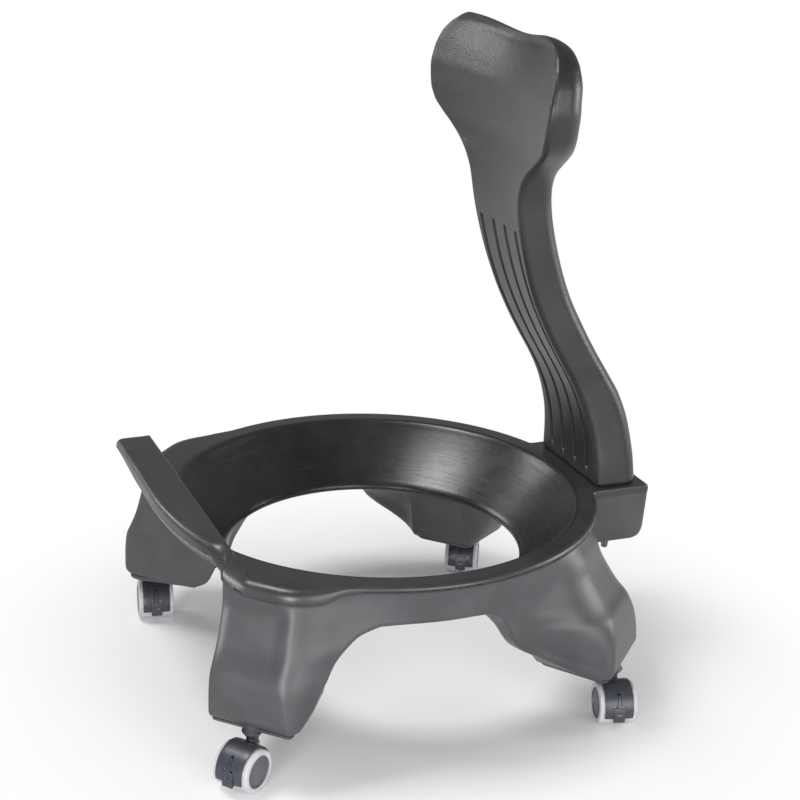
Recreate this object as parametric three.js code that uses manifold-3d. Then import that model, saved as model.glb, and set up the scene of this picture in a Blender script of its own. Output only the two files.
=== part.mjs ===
// Balance ball chair: a moulded ring on four legs with twin-wheel casters, and a moulded back support
// bolted into a socket block at the rear. Millimetres, +Z up, the front bar towards -Y.
// The origin is on the floor under the middle of the chair.

import * as THREE from 'three';
import { mergeVertices } from 'three/addons/utils/BufferGeometryUtils.js';
import Module from 'manifold-3d';

const wasm = await Module();
wasm.setup();

// Clearances
const seatGap = 0.3;          // between pieces that touch or sit in one another
const cutOverrun = 2;         // how far a cutting solid runs past the face that it opens
const mergeShare = 0.001;     // share of the seat gap within which corners are one corner

// Seat ring and bowl
const ringShift = -26;        // the ring's centre lies this far in front of the chair's middle
const bandHeight = 232;
const bandOuterRadius = 270;
const bandWidth = 26;
const bandLip = 6;            // height and depth of the rounded outer lip
const bandEdge = 2.5;         // rounding where the band meets the bowl
const bowlDepth = 72;         // from the band down to the bowl's hole
const bowlRun = 66;           // how far the bowl comes in on its way down
const bowlHoleEdge = 5;       // rounding of the bowl's lower edge
const skirtInset = 11;        // from the lip in to the skirt
const archDrop = 52;          // from the band to the skirt's lower edge midway between the legs
const skirtWall = 24;         // flat width of the skirt's lower edge

// Front bar
const barRise = 30;           // from the band up to the bar's top
const barThickness = 26;
const barWidth = 49;          // from the bar's front face to its rear top edge
const barOverhang = 10;       // from the lip forward to the bar's front face
const barBow = 18;            // how far the front face draws back towards the bar's ends
const barEdge = 9;            // rounding of the bar's front edges
const barHalfLength = 164;    // half of the part that is at full height
const barEndRun = 22;         // how far the ends roll outwards as they come down
const frontWall = 22;         // wall between the bowl's front and the hand gap

// Legs
const casterSpacingX = 434;
const casterSpacingY = 448;
const footNose = 15;          // from the caster's axis to the leg's outer face
const footDepth = 102;        // from the leg's outer face to its inner face
const footHalfWidth = 56;
const footBottom = 70;
const footRound = 6;          // rounding of the leg's lower edge
const legCorner = 16;
const padOverhang = 30;       // from the lip out to the outer face of a front leg's top
const padHalfWidth = 47;
const panelDepth = 6;         // hollow in a front leg's outer face
const panelHalfWidth = 34;

// Leg caps and caster sockets
const capHeight = 8;
const capInset = 1.5;
const capRound = 6;
const socketRadius = 10;
const socketFlangeRadius = 12;
const socketFlange = 4;
const socketLength = 32;

// Socket block for the back support
const blockHalfWidth = 87;
const blockOverhang = 63;     // from the lip back to the block's rear face
const blockDepth = 86;
const blockHeight = 72;
const blockRound = 24;       // rounding of the block's lower rear edge
const blockCorner = 12;       // rounding of the block's upright edges
const blockEdge = 4;
const blockFloor = 13;
const blockDraft = 5;         // how far the rear face leans in towards the bottom

// Back support
const backHeight = 790;
const backHeadHalfWidth = 168;
const backSetIn = 6;          // how far the front face at the foot lies inside the lip
const backReach = 146;       // how far the head stands in front of the foot
const backDepth = 59;         // thickness at the foot
const headWrap = 22;          // how far the lobes come forward of the middle
const headDip = 9;            // how far the top dips between the lobes
const backFrontCorner = 8;
const backRearCorner = 19;
const tongueInset = 8;
const tongueLength = 54;
const tongueTaper = 2;
const grooveSpacing = 31.5;
const grooveHalfWidth = 3.6;
const grooveDepth = 5;
const grooveRise = 14;        // from the band up to the grooves' lower ends
const grooveLength = 310;

// Bolts under the socket block
const boltSpacing = 116;
const boltRadius = 4;
const boltBehindFoot = 28;    // from the front of the foot to the bolt's axis
const boltGrip = 34;          // how far the shank goes up past the block's floor
const boltHeadRadius = 6;
const boltHeadTaper = 2;
const boltHeadLength = 17;
const washerRadius = 11;
const washerThickness = 2;

// Casters
const wheelRadius = 25;
const wheelWidth = 19.5;
const tyreThickness = 6.2;
const tyreEdge = 2.5;
const hubDome = 1.6;
const hubRim = 1.2;
const axleRadius = 3;
const axleLength = 38;
const webThickness = 5;
const webBossRadius = 7;
const wheelGap = 0.5;         // between the web and each wheel
const hoodGap = 1;            // between the tread and the hood
const hoodWall = 2;
const hoodHalfWidth = 17;
const hoodEdge = 1;
const casterTrail = 18;       // from the stem's axis to the axle
const stemRadius = 5;
const stemTop = 98;
const stemBossRadius = 7;
const leverHalfWidth = 6.7;
const leverLip = 3;           // how far the lever's end stands out of the hood
const leverTongueFoot = 2.4;  // half width of the tongue where it meets the lever's tab
const leverTongueTip = 1.3;
const leverSlotGap = 0.6;     // between the tongue and its slot
const leverBarrelRadius = 1.4;
const leverBarrelSet = 0.2;   // how far the barrel's axis lies outside the middle of the hood's wall
const leverPinRadius = 0.6;
const leverPinLength = 2;
const leverCheek = 0.2;       // how far the hood's cheeks stand out around the lever's pins

// Angles about the axle, in degrees from the way the brake lever points
const hoodFrontEnd = -9;
const hoodRearEnd = 196;
const slotRun = 12;           // how far the lever's slot is cut past the hood's front end
const windowTop = 50;
const webFrontEnd = 56;
const webRearEnd = 188;
const webBossStart = 215;
const webBossEnd = 325;
const leverTipAngle = 46;
const leverPivotAngle = 14;
const leverEndAngle = -22;

// The way each brake lever points as the chair stands, and the leg that it is under
const casters = [
  { name: 'front_left', x: 1, y: -1, heading: -53 },
  { name: 'rear_left', x: 1, y: 1, heading: -14 },
  { name: 'front_right', x: -1, y: -1, heading: -10 },
  { name: 'rear_right', x: -1, y: 1, heading: -29 },
];

// Fineness
const wheelSides = 16;
const socketSides = 16;
const smallSides = 12;
const tinySides = 6;
const hoodSteps = 10;
const leverSteps = 3;
const cornerSteps = 3;
const plateCornerSteps = 2;
const faceSteps = 5;
const grooveSteps = 7;

const deg = Math.PI / 180;
const quarterTurn = 90;
const { lerp, clamp, smoothstep } = THREE.MathUtils;

const plastic = (name, color, roughness) =>
  new THREE.MeshStandardMaterial({ name, color, roughness, metalness: 0 });
const materials = {
  moulding: plastic('black_moulding', 0x2f3033, 0.45),
  cap: plastic('cap_plastic', 0x37383b, 0.5),
  hood: plastic('hood_plastic', 0x33353c, 0.4),
  hub: plastic('hub_plastic', 0x5b5d62, 0.45),
  tyre: plastic('tyre', 0xc4c4c9, 0.55),
  steel: new THREE.MeshStandardMaterial({ name: 'steel', color: 0x8d8f94, roughness: 0.3, metalness: 1 }),
};

// Smooth least and greatest of two values, rounded over the given width.
function softMin(a, b, width) {
  const share = clamp(0.5 + (b - a) / (2 * width), 0, 1);
  return lerp(b, a, share) - width * share * (1 - share);
}

function softMax(a, b, width) {
  return -softMin(-a, -b, width);
}

// Value of a table at a place: rows are [place share, value share], joined by a monotone cubic.
function along(rows, place) {
  const last = rows.length - 1;
  if (place <= rows[0][0]) return rows[0][1];
  if (place >= rows[last][0]) return rows[last][1];
  const i = rows.findIndex((row) => row[0] > place) - 1;
  const slope = (k) => (rows[k + 1][1] - rows[k][1]) / (rows[k + 1][0] - rows[k][0]);
  const tangent = (k) => {
    if (k === 0) return slope(0);
    if (k === last) return slope(last - 1);
    const before = slope(k - 1);
    const after = slope(k);
    return before * after <= 0 ? 0 : (2 * before * after) / (before + after);
  };
  const span = rows[i + 1][0] - rows[i][0];
  const t = (place - rows[i][0]) / span;
  const turn = t * (1 - t) * span;
  const rest = rows[i][1] * (1 + 2 * t) * (1 - t) * (1 - t) + rows[i + 1][1] * t * t * (3 - 2 * t);
  return rest + turn * (1 - t) * tangent(i) - turn * t * tangent(i + 1);
}

// A solid from a grid of points: loops[i][j] is a THREE.Vector3. Each loop closes on itself. The loops
// close on each other too, or the first and last loops are capped.
function skin(loops, ring) {
  const count = loops[0].length;
  const points = loops.flat();
  const triangles = [];
  const rows = ring ? loops.length : loops.length - 1;
  for (let i = 0; i < rows; i++) {
    for (let j = 0; j < count; j++) {
      const a = i * count + j;
      const b = i * count + ((j + 1) % count);
      const c = ((i + 1) % loops.length) * count + ((j + 1) % count);
      const d = ((i + 1) % loops.length) * count + j;
      triangles.push([a, b, c], [a, c, d]);
    }
  }
  if (!ring) {
    for (const [start, flip] of [[0, true], [(loops.length - 1) * count, false]]) {
      const middle = new THREE.Vector3();
      for (let j = 0; j < count; j++) middle.addScaledVector(points[start + j], 1 / count);
      points.push(middle);
      for (let j = 0; j < count; j++) {
        const a = start + j;
        const b = start + ((j + 1) % count);
        triangles.push(flip ? [b, a, points.length - 1] : [a, b, points.length - 1]);
      }
    }
  }
  return solidFrom(points, triangles);
}

// A manifold from points and triangles, turned so that its faces point outwards.
function solidFrom(points, triangles) {
  let volume = 0;
  for (const [a, b, c] of triangles) {
    volume += points[a].dot(new THREE.Vector3().crossVectors(points[b], points[c]));
  }
  const order = volume < 0 ? triangles.map(([a, b, c]) => [a, c, b]) : triangles;
  const mesh = new wasm.Mesh({
    numProp: 3,
    vertProperties: new Float32Array(points.flatMap((point) => point.toArray())),
    triVerts: new Uint32Array(order.flat()),
  });
  mesh.merge();
  return new wasm.Manifold(mesh);
}

// A manifold from a closed three.js geometry.
function solidOf(geometry) {
  const bare = new THREE.BufferGeometry();
  bare.setAttribute('position', geometry.getAttribute('position'));
  if (geometry.index) bare.setIndex(geometry.index);
  const merged = mergeVertices(bare, seatGap * mergeShare);
  const place = merged.getAttribute('position');
  const points = [];
  for (let i = 0; i < place.count; i++) points.push(new THREE.Vector3().fromBufferAttribute(place, i));
  const triangles = [];
  for (let i = 0; i < merged.index.count; i += 3) {
    const triangle = [merged.index.getX(i), merged.index.getX(i + 1), merged.index.getX(i + 2)];
    if (new Set(triangle).size === 3) triangles.push(triangle);
  }
  return solidFrom(points, triangles);
}

function geometryOf(solid) {
  const mesh = solid.getMesh();
  const geometry = new THREE.BufferGeometry();
  geometry.setAttribute('position', new THREE.BufferAttribute(new Float32Array(mesh.vertProperties), 3));
  geometry.setIndex(new THREE.BufferAttribute(new Uint32Array(mesh.triVerts), 1));
  return geometry;
}

// A solid of revolution about +Z from [radius, height] pairs, on the axis at both ends or closed.
function turned(profile, sides) {
  const points = profile.map(([radius, height]) => new THREE.Vector2(radius, height));
  return solidOf(new THREE.LatheGeometry(points, sides).rotateX(Math.PI / 2));
}

function pin(radius, bottom, top, sides) {
  return turned([[0, bottom], [radius, bottom], [radius, top], [0, top]], sides);
}

// A rounded rectangle in the plane, as points: half sizes and corner radius.
function roundedLoop(halfX, halfY, radius) {
  const corner = Math.min(radius, halfX, halfY);
  const points = [];
  for (const [sx, sy, start] of [[1, -1, -90], [1, 1, 0], [-1, 1, 90], [-1, -1, 180]]) {
    for (let k = 0; k <= plateCornerSteps; k++) {
      const turn = (start + (quarterTurn * k) / plateCornerSteps) * deg;
      const x = sx * (halfX - corner) + corner * Math.cos(turn);
      const y = sy * (halfY - corner) + corner * Math.sin(turn);
      points.push([x, y]);
    }
  }
  return points;
}

// Seat ring, bowl, bar and legs: one skin. A loop runs up the bowl, over the band or the bar, down the
// outside, under the lower edge and back to the bowl's hole. One loop stands at each angle about the ring.

const legAngle = Math.atan2(casterSpacingY, casterSpacingX);
const casterReach = Math.hypot(casterSpacingX, casterSpacingY) / 2;
const footReach = casterReach + footNose;
const footInnerReach = footReach - footDepth;
const padReach = bandOuterRadius + padOverhang;
const skirtRadius = bandOuterRadius - skirtInset;
const archHeight = bandHeight - archDrop;
const bowlHoleRadius = bandOuterRadius - bandWidth - bowlRun;
const bowlHoleHeight = bandHeight - bowlDepth;
const bowlSlope = bowlRun / bowlDepth;
const barTop = bandHeight + barRise;
const barFrontReach = bandOuterRadius + barOverhang;
const barInnerReach = barFrontReach - barWidth;
const barEndReach = barHalfLength + barEndRun;
const wallSlope = (barInnerReach - bowlHoleRadius) / (barTop - bowlHoleHeight);
const frontSpreadShare = 0.5;     // how far forward a direction points before the front wall is met
const leastShare = 0.1;

// Shares of the band's height against shares of the way from a leg's top to its foot
const frontReachShares = [[0.3, 1], [0.41, 1], [0.51, 0.96], [0.6, 0.77], [0.67, 0.6], [0.74, 0.42],
  [0.85, 0.17], [0.95, 0], [1, 0]];
const rearReachShares = [[0.3, 1], [0.42, 0.985], [0.51, 0.95], [0.6, 0.84], [0.65, 0.68], [0.73, 0.49],
  [0.8, 0.34], [0.88, 0.22], [0.96, 0.04], [1, 0]];
const legWidthShares = [[0.3, 1], [0.45, 0.95], [0.56, 0.7], [0.65, 0.35], [0.75, 0.05], [1, 0]];
const flareShares = [[0.32, 0], [0.47, 0.38], [0.6, 0.68], [0.72, 1], [1, 1]];
const panelShares = [[0.6, 0], [0.68, 1], [0.87, 1], [0.93, 0]];

// Degrees from a leg's middle against shares of the way from the foot up to the arch
const frontEndArchShares = [[11.6, 0], [12.6, 0.12], [14.5, 0.9], [16, 1]];
const sideArchShares = [[10.2, 0], [12, 0.15], [13.5, 0.35], [15, 0.52], [16.3, 0.68], [18.4, 0.82],
  [21.6, 0.94], [26, 1]];
const rearSideArchShares = [[10, 0], [14.4, 0.14], [19, 0.27], [23.6, 0.385], [26.6, 0.48], [28.4, 0.57],
  [31.5, 0.8], [33.5, 0.9], [38, 0.99], [42, 1]];

// What a loop needs to know of its direction about the ring
function bearing(angle) {
  const x = Math.cos(angle);
  const y = Math.sin(angle);
  const front = y < 0;
  const fromLeg = Math.atan2(Math.abs(y), Math.abs(x)) - legAngle;
  const forward = front && -y > frontSpreadShare;
  return { x, y, front, forward, fromLeg: Math.abs(fromLeg), towardsEnd: fromLeg > 0 };
}

// Distance from the ring's centre to the bowl's front wall at a height.
function frontWallReach(height) {
  return bowlHoleRadius + wallSlope * (height - bowlHoleHeight);
}

// Radius of the bowl's inner face: a cone, cut flat at the front by the wall that rises to the bar.
function bowlRadius(way, height) {
  const cone = bowlHoleRadius + bowlSlope * (height - bowlHoleHeight);
  return way.forward ? softMin(cone, frontWallReach(height) / -way.y, bowlHoleEdge) : cone;
}

// Radius at which a leg's outer face, or one of its sides, is met.
function legRadius(way, reach, halfWidth, flare) {
  const across = Math.max(Math.sin(way.fromLeg) + flare * Math.cos(way.fromLeg), leastShare);
  return softMin(reach / Math.cos(way.fromLeg), (halfWidth + flare * reach) / across, legCorner);
}

// Radius of the outside at a height: the skirt or the front wall, and the leg that grows out of it.
function outerRadius(way, height) {
  const share = height / bandHeight;
  const gapSide = way.front && way.towardsEnd;
  const reachShares = way.front ? frontReachShares : rearReachShares;
  let reach = lerp(way.front ? padReach : skirtRadius, footReach, along(reachShares, share));
  if (way.front) {
    const across = footReach * Math.tan(way.fromLeg);
    const inPanel = 1 - smoothstep(across, panelHalfWidth - legCorner / 4, panelHalfWidth + legCorner / 2);
    reach -= panelDepth * inPanel * along(panelShares, share);
  }
  const halfWidth = lerp(padHalfWidth, footHalfWidth, along(legWidthShares, share));
  const leg = legRadius(way, reach, halfWidth, gapSide ? 0 : along(flareShares, share));
  let ring = skirtRadius;
  if (gapSide && way.forward) {
    ring = softMin(ring, (frontWallReach(height) + frontWall) / -way.y, legCorner);
  }
  return softMax(ring, leg, legCorner / 2);
}

// Height of the top at a radius: the band, or the bar with its ends rolled down.
function topHeight(way, radius) {
  if (!way.forward || radius * -way.y < frontWallReach(bandHeight)) return bandHeight;
  return lerp(barTop, bandHeight, smoothstep(Math.abs(way.x) * radius, barHalfLength, barEndReach));
}

// Outline of the top, seen from above: the lip, the front legs' pads and the bar.
function topRadius(way) {
  let radius = bandOuterRadius;
  if (way.front) {
    const pad = legRadius(way, padReach, padHalfWidth, way.towardsEnd ? 0 : 1);
    radius = softMax(radius, pad, legCorner / 2);
  }
  if (way.forward) {
    const across = (barFrontReach * Math.abs(way.x)) / -way.y;
    const front = barFrontReach - barBow * (across / barEndReach) ** 2;
    const end = barEndReach / Math.max(Math.abs(way.x), leastShare);
    radius = softMax(radius, softMin(front / -way.y, end, barThickness), legCorner);
  }
  return radius;
}

// Height of the lower edge: the foot's bottom, or the arch between the legs.
function lowerHeight(way) {
  const degrees = way.fromLeg / deg;
  if (way.front && way.towardsEnd) {
    return lerp(footBottom, bowlHoleHeight - bowlHoleEdge / 2, along(frontEndArchShares, degrees));
  }
  const shares = way.front || way.towardsEnd ? sideArchShares : rearSideArchShares;
  return lerp(footBottom, archHeight, along(shares, degrees));
}

// Places in a loop: up the bowl; over the lip, as shares of its rounding in and down; under the lip, as
// shares of the band's lip in and up; down the outside; and back under the moulding to the bowl's edge
const bowlLevelShares = [0, 0.96];
const lipShares = [[1, 0], [0.3, 0.3], [0, 1]];
const lipUnderShares = [[0, 0.33], [0.33, 0]];
const lipHeightShare = 1.5;
const barWallShare = 0.93;
const outerLevelShares = [0, 0.1, 0.2, 0.34, 0.48, 0.68, 1];
const archedShares = [[0.02, 0], [0.25, 0.5], [0.5, 1]];
const sillShares = [0.3, 0.3];
const heelReachShare = 2.5;
const undersideShares = [0.45, 0.62];

function ringLoop(angle) {
  const way = bearing(angle);
  const loop = [];
  const put = (radius, height) => loop.push(new THREE.Vector3(way.x * radius, way.y * radius, height));

  for (const share of bowlLevelShares) {
    const height = lerp(bowlHoleHeight, bandHeight, share);
    put(bowlRadius(way, height), height);
  }

  const outline = topRadius(way);
  const raised = (topHeight(way, outline) - bandHeight) / (barTop - bandHeight);
  const edge = lerp(bandLip, barEdge, raised);
  const crest = outline - edge;
  const ahead = Math.max(-way.y, leastShare);
  const bowlTop = bowlRadius(way, bandHeight);
  const wallFoot = frontWallReach(bandHeight) / ahead;
  const bandStart = bowlTop + clamp(wallFoot - bowlTop, bandEdge / 4, bandEdge);
  const wallStart = clamp(wallFoot, bandStart + bandEdge / 2, crest - 2 * bandLip);
  const wallTop = clamp(barInnerReach / ahead, wallStart + bandEdge, crest - bandLip);
  const barInside = topHeight(way, wallTop);
  put(bandStart, bandHeight);
  put(wallStart, bandHeight);
  put(wallTop - bandEdge / 4, lerp(bandHeight, barInside, barWallShare));
  put(wallTop + bandEdge, barInside);

  const lipHeight = topHeight(way, outline);
  put(crest, topHeight(way, crest));
  for (const [inwardShare, downShare] of lipShares.slice(1)) {
    put(outline - inwardShare * edge, lipHeight - downShare * edge);
  }
  const under = lipHeight - lerp(lipHeightShare * bandLip, barThickness, raised);
  for (const [inwardShare, upShare] of lipUnderShares) {
    put(outline - inwardShare * bandLip, under + upShare * bandLip);
  }

  const low = lowerHeight(way);
  const sillHeight = low + footRound;
  for (const share of outerLevelShares) {
    const height = lerp(under - bandLip / 4, sillHeight, share);
    put(outerRadius(way, height), height);
  }
  const sill = outerRadius(way, sillHeight);
  const arched = along(archedShares, (low - footBottom) / (archHeight - footBottom));
  const inside = lerp(footInnerReach / Math.cos(way.fromLeg), sill - skirtWall, arched);
  const bowlEdge = bowlHoleRadius + bowlHoleEdge;
  const heel = Math.min(Math.max(inside, bowlEdge + bowlHoleEdge), sill - heelReachShare * footRound);
  put(sill - sillShares[0] * footRound, low + sillShares[1] * footRound);
  put(sill - footRound, low);
  put(heel, low);
  const bowlUnder = bowlHoleHeight - bowlHoleEdge;
  put(lerp(heel, bowlEdge, undersideShares[0]), lerp(low, bowlUnder, undersideShares[1]));
  put(bowlEdge, bowlUnder);
  return loop;
}

// Degrees from a leg's middle at which the loops stand, towards the side and then towards the chair's end
const nearLegDegrees = [-30, -24, -19, -15.5, -12.6, -10.4, -8.2, -5.5, 0,
  5.5, 7, 8.4, 9.6, 10.8, 12, 13.6, 16, 20.5];
const sideSteps = 2;
const endSteps = 3;

function ringAngles() {
  const near = nearLegDegrees.map((offset) => legAngle + offset * deg);
  const last = near[near.length - 1];
  const quarter = [0];
  for (let k = 1; k <= sideSteps; k++) quarter.push((near[0] * k) / (sideSteps + 1));
  quarter.push(...near);
  for (let k = 1; k <= endSteps; k++) quarter.push(lerp(last, Math.PI / 2, k / (endSteps + 1)));
  const half = [...quarter, Math.PI / 2, ...quarter.slice(1).reverse().map((angle) => Math.PI - angle)];
  return [...half, Math.PI, ...half.slice(1).reverse().map((angle) => 2 * Math.PI - angle)];
}

// Section of the socket block's lower rear edge: shares of its rounding up, in at the rear and in at a side
const blockRoundShares = [[0, 0.62, 0.55], [0.12, 0.3, 0.3], [0.42, 0.07, 0.1], [1, 0, 0]];
const blockEdgeShares = [[1, 0], [0.3, 0.3], [0, 1]];
const blockBottom = bandHeight - blockHeight;
const blockRear = bandOuterRadius + blockOverhang;

function socketBlock() {
  const lower = blockRoundShares.map(([upShare, rearShare, sideShare]) =>
    [blockBottom + upShare * blockRound, rearShare * blockRound, sideShare * blockRound]);
  const upper = blockEdgeShares.map(([downShare, inShare]) =>
    [bandHeight - downShare * blockEdge, inShare * blockEdge, inShare * blockEdge]);
  const loops = [...lower, ...upper].map(([height, rearInset, sideInset]) => {
    const rear = rearInset + (blockDraft * (bandHeight - height)) / (bandHeight - blockBottom);
    const loop = roundedLoop(blockHalfWidth - sideInset, (blockDepth - rear) / 2, blockCorner);
    return loop.map(([x, y]) => new THREE.Vector3(x, blockRear - (blockDepth + rear) / 2 + y, height));
  });
  return skin(loops, false);
}

// Back support: loops stand one above another, each a rounded slab. The head's bend forward at their ends.

// Shares of the height above the foot against half width, forward lean, thickness and wrap, as shares of
// the head's half width, the back's reach, the thickness at the foot and the head's wrap
const backShares = [
  [0, 0.467, 0, 1, 0], [0.05, 0.45, 0.012, 0.99, 0], [0.1, 0.424, 0.04, 0.99, 0.03],
  [0.15, 0.404, 0.09, 1, 0.07], [0.2, 0.387, 0.163, 0.99, 0.1], [0.25, 0.379, 0.262, 0.95, 0.1],
  [0.3, 0.378, 0.378, 0.93, 0.1], [0.36, 0.376, 0.508, 0.915, 0.1], [0.43, 0.374, 0.636, 0.88, 0.1],
  [0.51, 0.386, 0.747, 0.849, 0.1], [0.6, 0.402, 0.837, 0.82, 0.12], [0.645, 0.414, 0.867, 0.805, 0.18],
  [0.675, 0.435, 0.88, 0.79, 0.25], [0.7, 0.482, 0.89, 0.77, 0.34], [0.72, 0.545, 0.897, 0.75, 0.45],
  [0.74, 0.635, 0.905, 0.74, 0.56], [0.76, 0.74, 0.922, 0.735, 0.68], [0.78, 0.84, 0.95, 0.74, 0.78],
  [0.805, 0.925, 0.985, 0.75, 0.88], [0.835, 0.975, 1, 0.74, 0.96], [0.875, 1, 0.997, 0.71, 1],
  [0.91, 0.99, 0.975, 0.67, 1], [0.945, 0.945, 0.94, 0.58, 1], [0.97, 0.87, 0.9, 0.46, 0.95],
  [0.985, 0.79, 0.87, 0.34, 0.9], [0.995, 0.7, 0.855, 0.2, 0.85], [1, 0.63, 0.845, 0.1, 0.8],
];
const columnShares = (index) => backShares.map((row) => [row[0], row[index]]);
const widthShares = columnShares(1);
const leanShares = columnShares(2);
const thicknessShares = columnShares(3);
const wrapShares = columnShares(4);
const dipShares = [[0.7, 0], [0.85, 0.15], [0.94, 0.6], [1, 1]];
const lobeShare = 0.64;           // where the lobes peak, as a share of the head's half width
const cornerDepthShares = [0.4, 0.55];

const backBaseFront = bandOuterRadius - backSetIn;
const shoulderHeight = bandHeight + seatGap;
const backSpan = backHeight - shoulderHeight;
const tongueBottom = shoulderHeight - tongueLength;

function backAt(share) {
  return {
    halfWidth: backHeadHalfWidth * along(widthShares, share),
    front: backBaseFront - backReach * along(leanShares, share),
    depth: backDepth * along(thicknessShares, share),
    wrap: headWrap * along(wrapShares, share),
    dip: headDip * along(dipShares, share),
  };
}

function backFrontFace(slab, x) {
  const across = clamp(x / slab.halfWidth, -1, 1);
  return slab.front + slab.wrap * (1 - across * across);
}

// Outline of the slab seen from above: front face, tight front corner, side and full rear corner.
function slabOutline(halfWidth, depth) {
  const front = Math.min(backFrontCorner, depth * cornerDepthShares[0]);
  const rear = Math.min(backRearCorner, depth * cornerDepthShares[1]);
  const points = [];
  const edge = (from, to, y) => {
    for (let k = 1; k < faceSteps; k++) points.push([lerp(from, to, k / faceSteps), y]);
  };
  const corner = (x, y, radius, start) => {
    for (let k = 0; k <= cornerSteps; k++) {
      const turn = (start + (quarterTurn * k) / cornerSteps) * deg;
      points.push([x + radius * Math.cos(turn), y + radius * Math.sin(turn)]);
    }
  };
  edge(front - halfWidth, halfWidth - front, 0);
  corner(halfWidth - front, front, front, -90);
  corner(halfWidth - rear, depth - rear, rear, 0);
  edge(halfWidth - rear, rear - halfWidth, depth);
  corner(rear - halfWidth, depth - rear, rear, 90);
  corner(front - halfWidth, front, front, 180);
  return points;
}

function slabLoop(share) {
  const slab = backAt(share);
  const height = shoulderHeight + backSpan * share;
  const lobe = lobeShare * backHeadHalfWidth;
  return slabOutline(slab.halfWidth, slab.depth).map(([x, y]) => {
    const inward = 1 - Math.min(1, (x / lobe) ** 2);
    return new THREE.Vector3(x, backFrontFace(slab, x) + y, height - slab.dip * inward * inward);
  });
}

function tongueLoop(height, inset) {
  const slab = backAt(0);
  const outline = slabOutline(slab.halfWidth - inset, slab.depth - 2 * inset);
  return outline.map(([x, y]) => new THREE.Vector3(x, backBaseFront + inset + y, height));
}

// A groove's section: shares of its half width across and of its depth in. Its ends are rounded.
const grooveSectionShares = [[1, 0.5], [0.55, 1], [-0.55, 1], [-1, 0.5]];
const grooveEndShares = [0.45, 0.85];
const groovePlaceShares = [-1.5, -0.5, 0.5, 1.5];

function backGroove(x) {
  const loops = [];
  for (let i = 0; i <= grooveSteps; i++) {
    const height = bandHeight + grooveRise + (grooveLength * i) / grooveSteps;
    const face = backFrontFace(backAt((height - shoulderHeight) / backSpan), x);
    const fromEnd = Math.min(i, grooveSteps - i);
    const swell = fromEnd < grooveEndShares.length ? grooveEndShares[fromEnd] : 1;
    const half = grooveHalfWidth * swell;
    const section = [[-half, -cutOverrun], [half, -cutOverrun]];
    for (const [acrossShare, inShare] of grooveSectionShares) {
      section.push([half * acrossShare, grooveDepth * swell * inShare]);
    }
    loops.push(section.map(([dx, dy]) => new THREE.Vector3(x + dx, face + dy, height)));
  }
  return skin(loops, false);
}

const boltY = backBaseFront + boltBehindFoot;
const boltPlaces = [-1, 1].map((side) => ({ side, x: (side * boltSpacing) / 2, y: boltY }));
const boltTip = blockBottom + blockFloor + boltGrip;

function backSupport() {
  const loops = [
    tongueLoop(tongueBottom, tongueInset + tongueTaper),
    tongueLoop(tongueBottom + tongueInset, tongueInset),
    tongueLoop(shoulderHeight, tongueInset),
    ...backShares.map((row) => slabLoop(row[0])),
  ];
  let solid = skin(loops, false);
  for (const share of groovePlaceShares) solid = solid.subtract(backGroove(share * grooveSpacing));
  const hole = pin(boltRadius + seatGap, tongueBottom - cutOverrun, boltTip + seatGap, smallSides);
  for (const { x, y } of boltPlaces) solid = solid.subtract(hole.translate([x, y, 0]));
  return solid;
}

// The pocket takes the tongue with the seat gap all round.
function socketPocket() {
  const inset = tongueInset - seatGap;
  const levels = [blockBottom + blockFloor, bandHeight + cutOverrun];
  return skin(levels.map((height) => tongueLoop(height, inset)), false);
}

// Turned out of the +X direction to stand over one caster.
function placeOnLeg(solid, end) {
  return solid.rotate([0, 0, Math.atan2(end.y * casterSpacingY, end.x * casterSpacingX) / deg]);
}

function baseFrame() {
  let solid = skin(ringAngles().map(ringLoop), true).add(socketBlock()).subtract(socketPocket());
  const boreTop = footBottom + socketLength;
  const bore = pin(socketRadius + seatGap, footBottom - cutOverrun, boreTop, socketSides);
  for (const end of casters) {
    solid = solid.subtract(placeOnLeg(bore.translate([casterReach, 0, 0]), end));
  }
  const holeTop = blockBottom + blockFloor + cutOverrun;
  const hole = pin(boltRadius + seatGap, blockBottom - cutOverrun, holeTop, smallSides);
  for (const { x, y } of boltPlaces) solid = solid.subtract(hole.translate([x, y, 0]));
  return solid;
}

// Section of a leg cap's lower edge: shares of its rounding up and in
const capRoundShares = [[0, 1], [1, 0]];

// A plate the shape of the foot, bored for the caster's socket.
function legCap(end) {
  const bottom = footBottom - seatGap - capHeight;
  const levels = [...capRoundShares.map((row) => [bottom + row[0] * capRound, row[1] * capRound]),
    [bottom + capHeight, 0]];
  const loops = levels.map(([height, inset]) => {
    const reach = footDepth / 2 - capInset - inset;
    const loop = roundedLoop(reach, footHalfWidth - capInset - inset, legCorner);
    return loop.map(([x, y]) => new THREE.Vector3(footReach - footDepth / 2 + x, y, height));
  });
  const bore = pin(socketRadius + seatGap, bottom - cutOverrun, footBottom + cutOverrun, socketSides);
  return placeOnLeg(skin(loops, false).subtract(bore.translate([casterReach, 0, 0])), end);
}

// A flanged bush: its tube goes up through the cap into the leg.
const socketNeck = footBottom - capHeight - 2 * seatGap;
const socketBottom = socketNeck - socketFlange;

function casterSocket() {
  const top = footBottom + socketLength - seatGap;
  const bore = stemRadius + seatGap;
  return turned([[bore, socketBottom], [socketFlangeRadius, socketBottom], [socketFlangeRadius, socketNeck],
    [socketRadius, socketNeck], [socketRadius, top], [bore, top], [bore, socketBottom]], socketSides);
}

// Casters, in a frame of their own: the stem stands on the Z axis and the brake lever points along +X.

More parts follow.
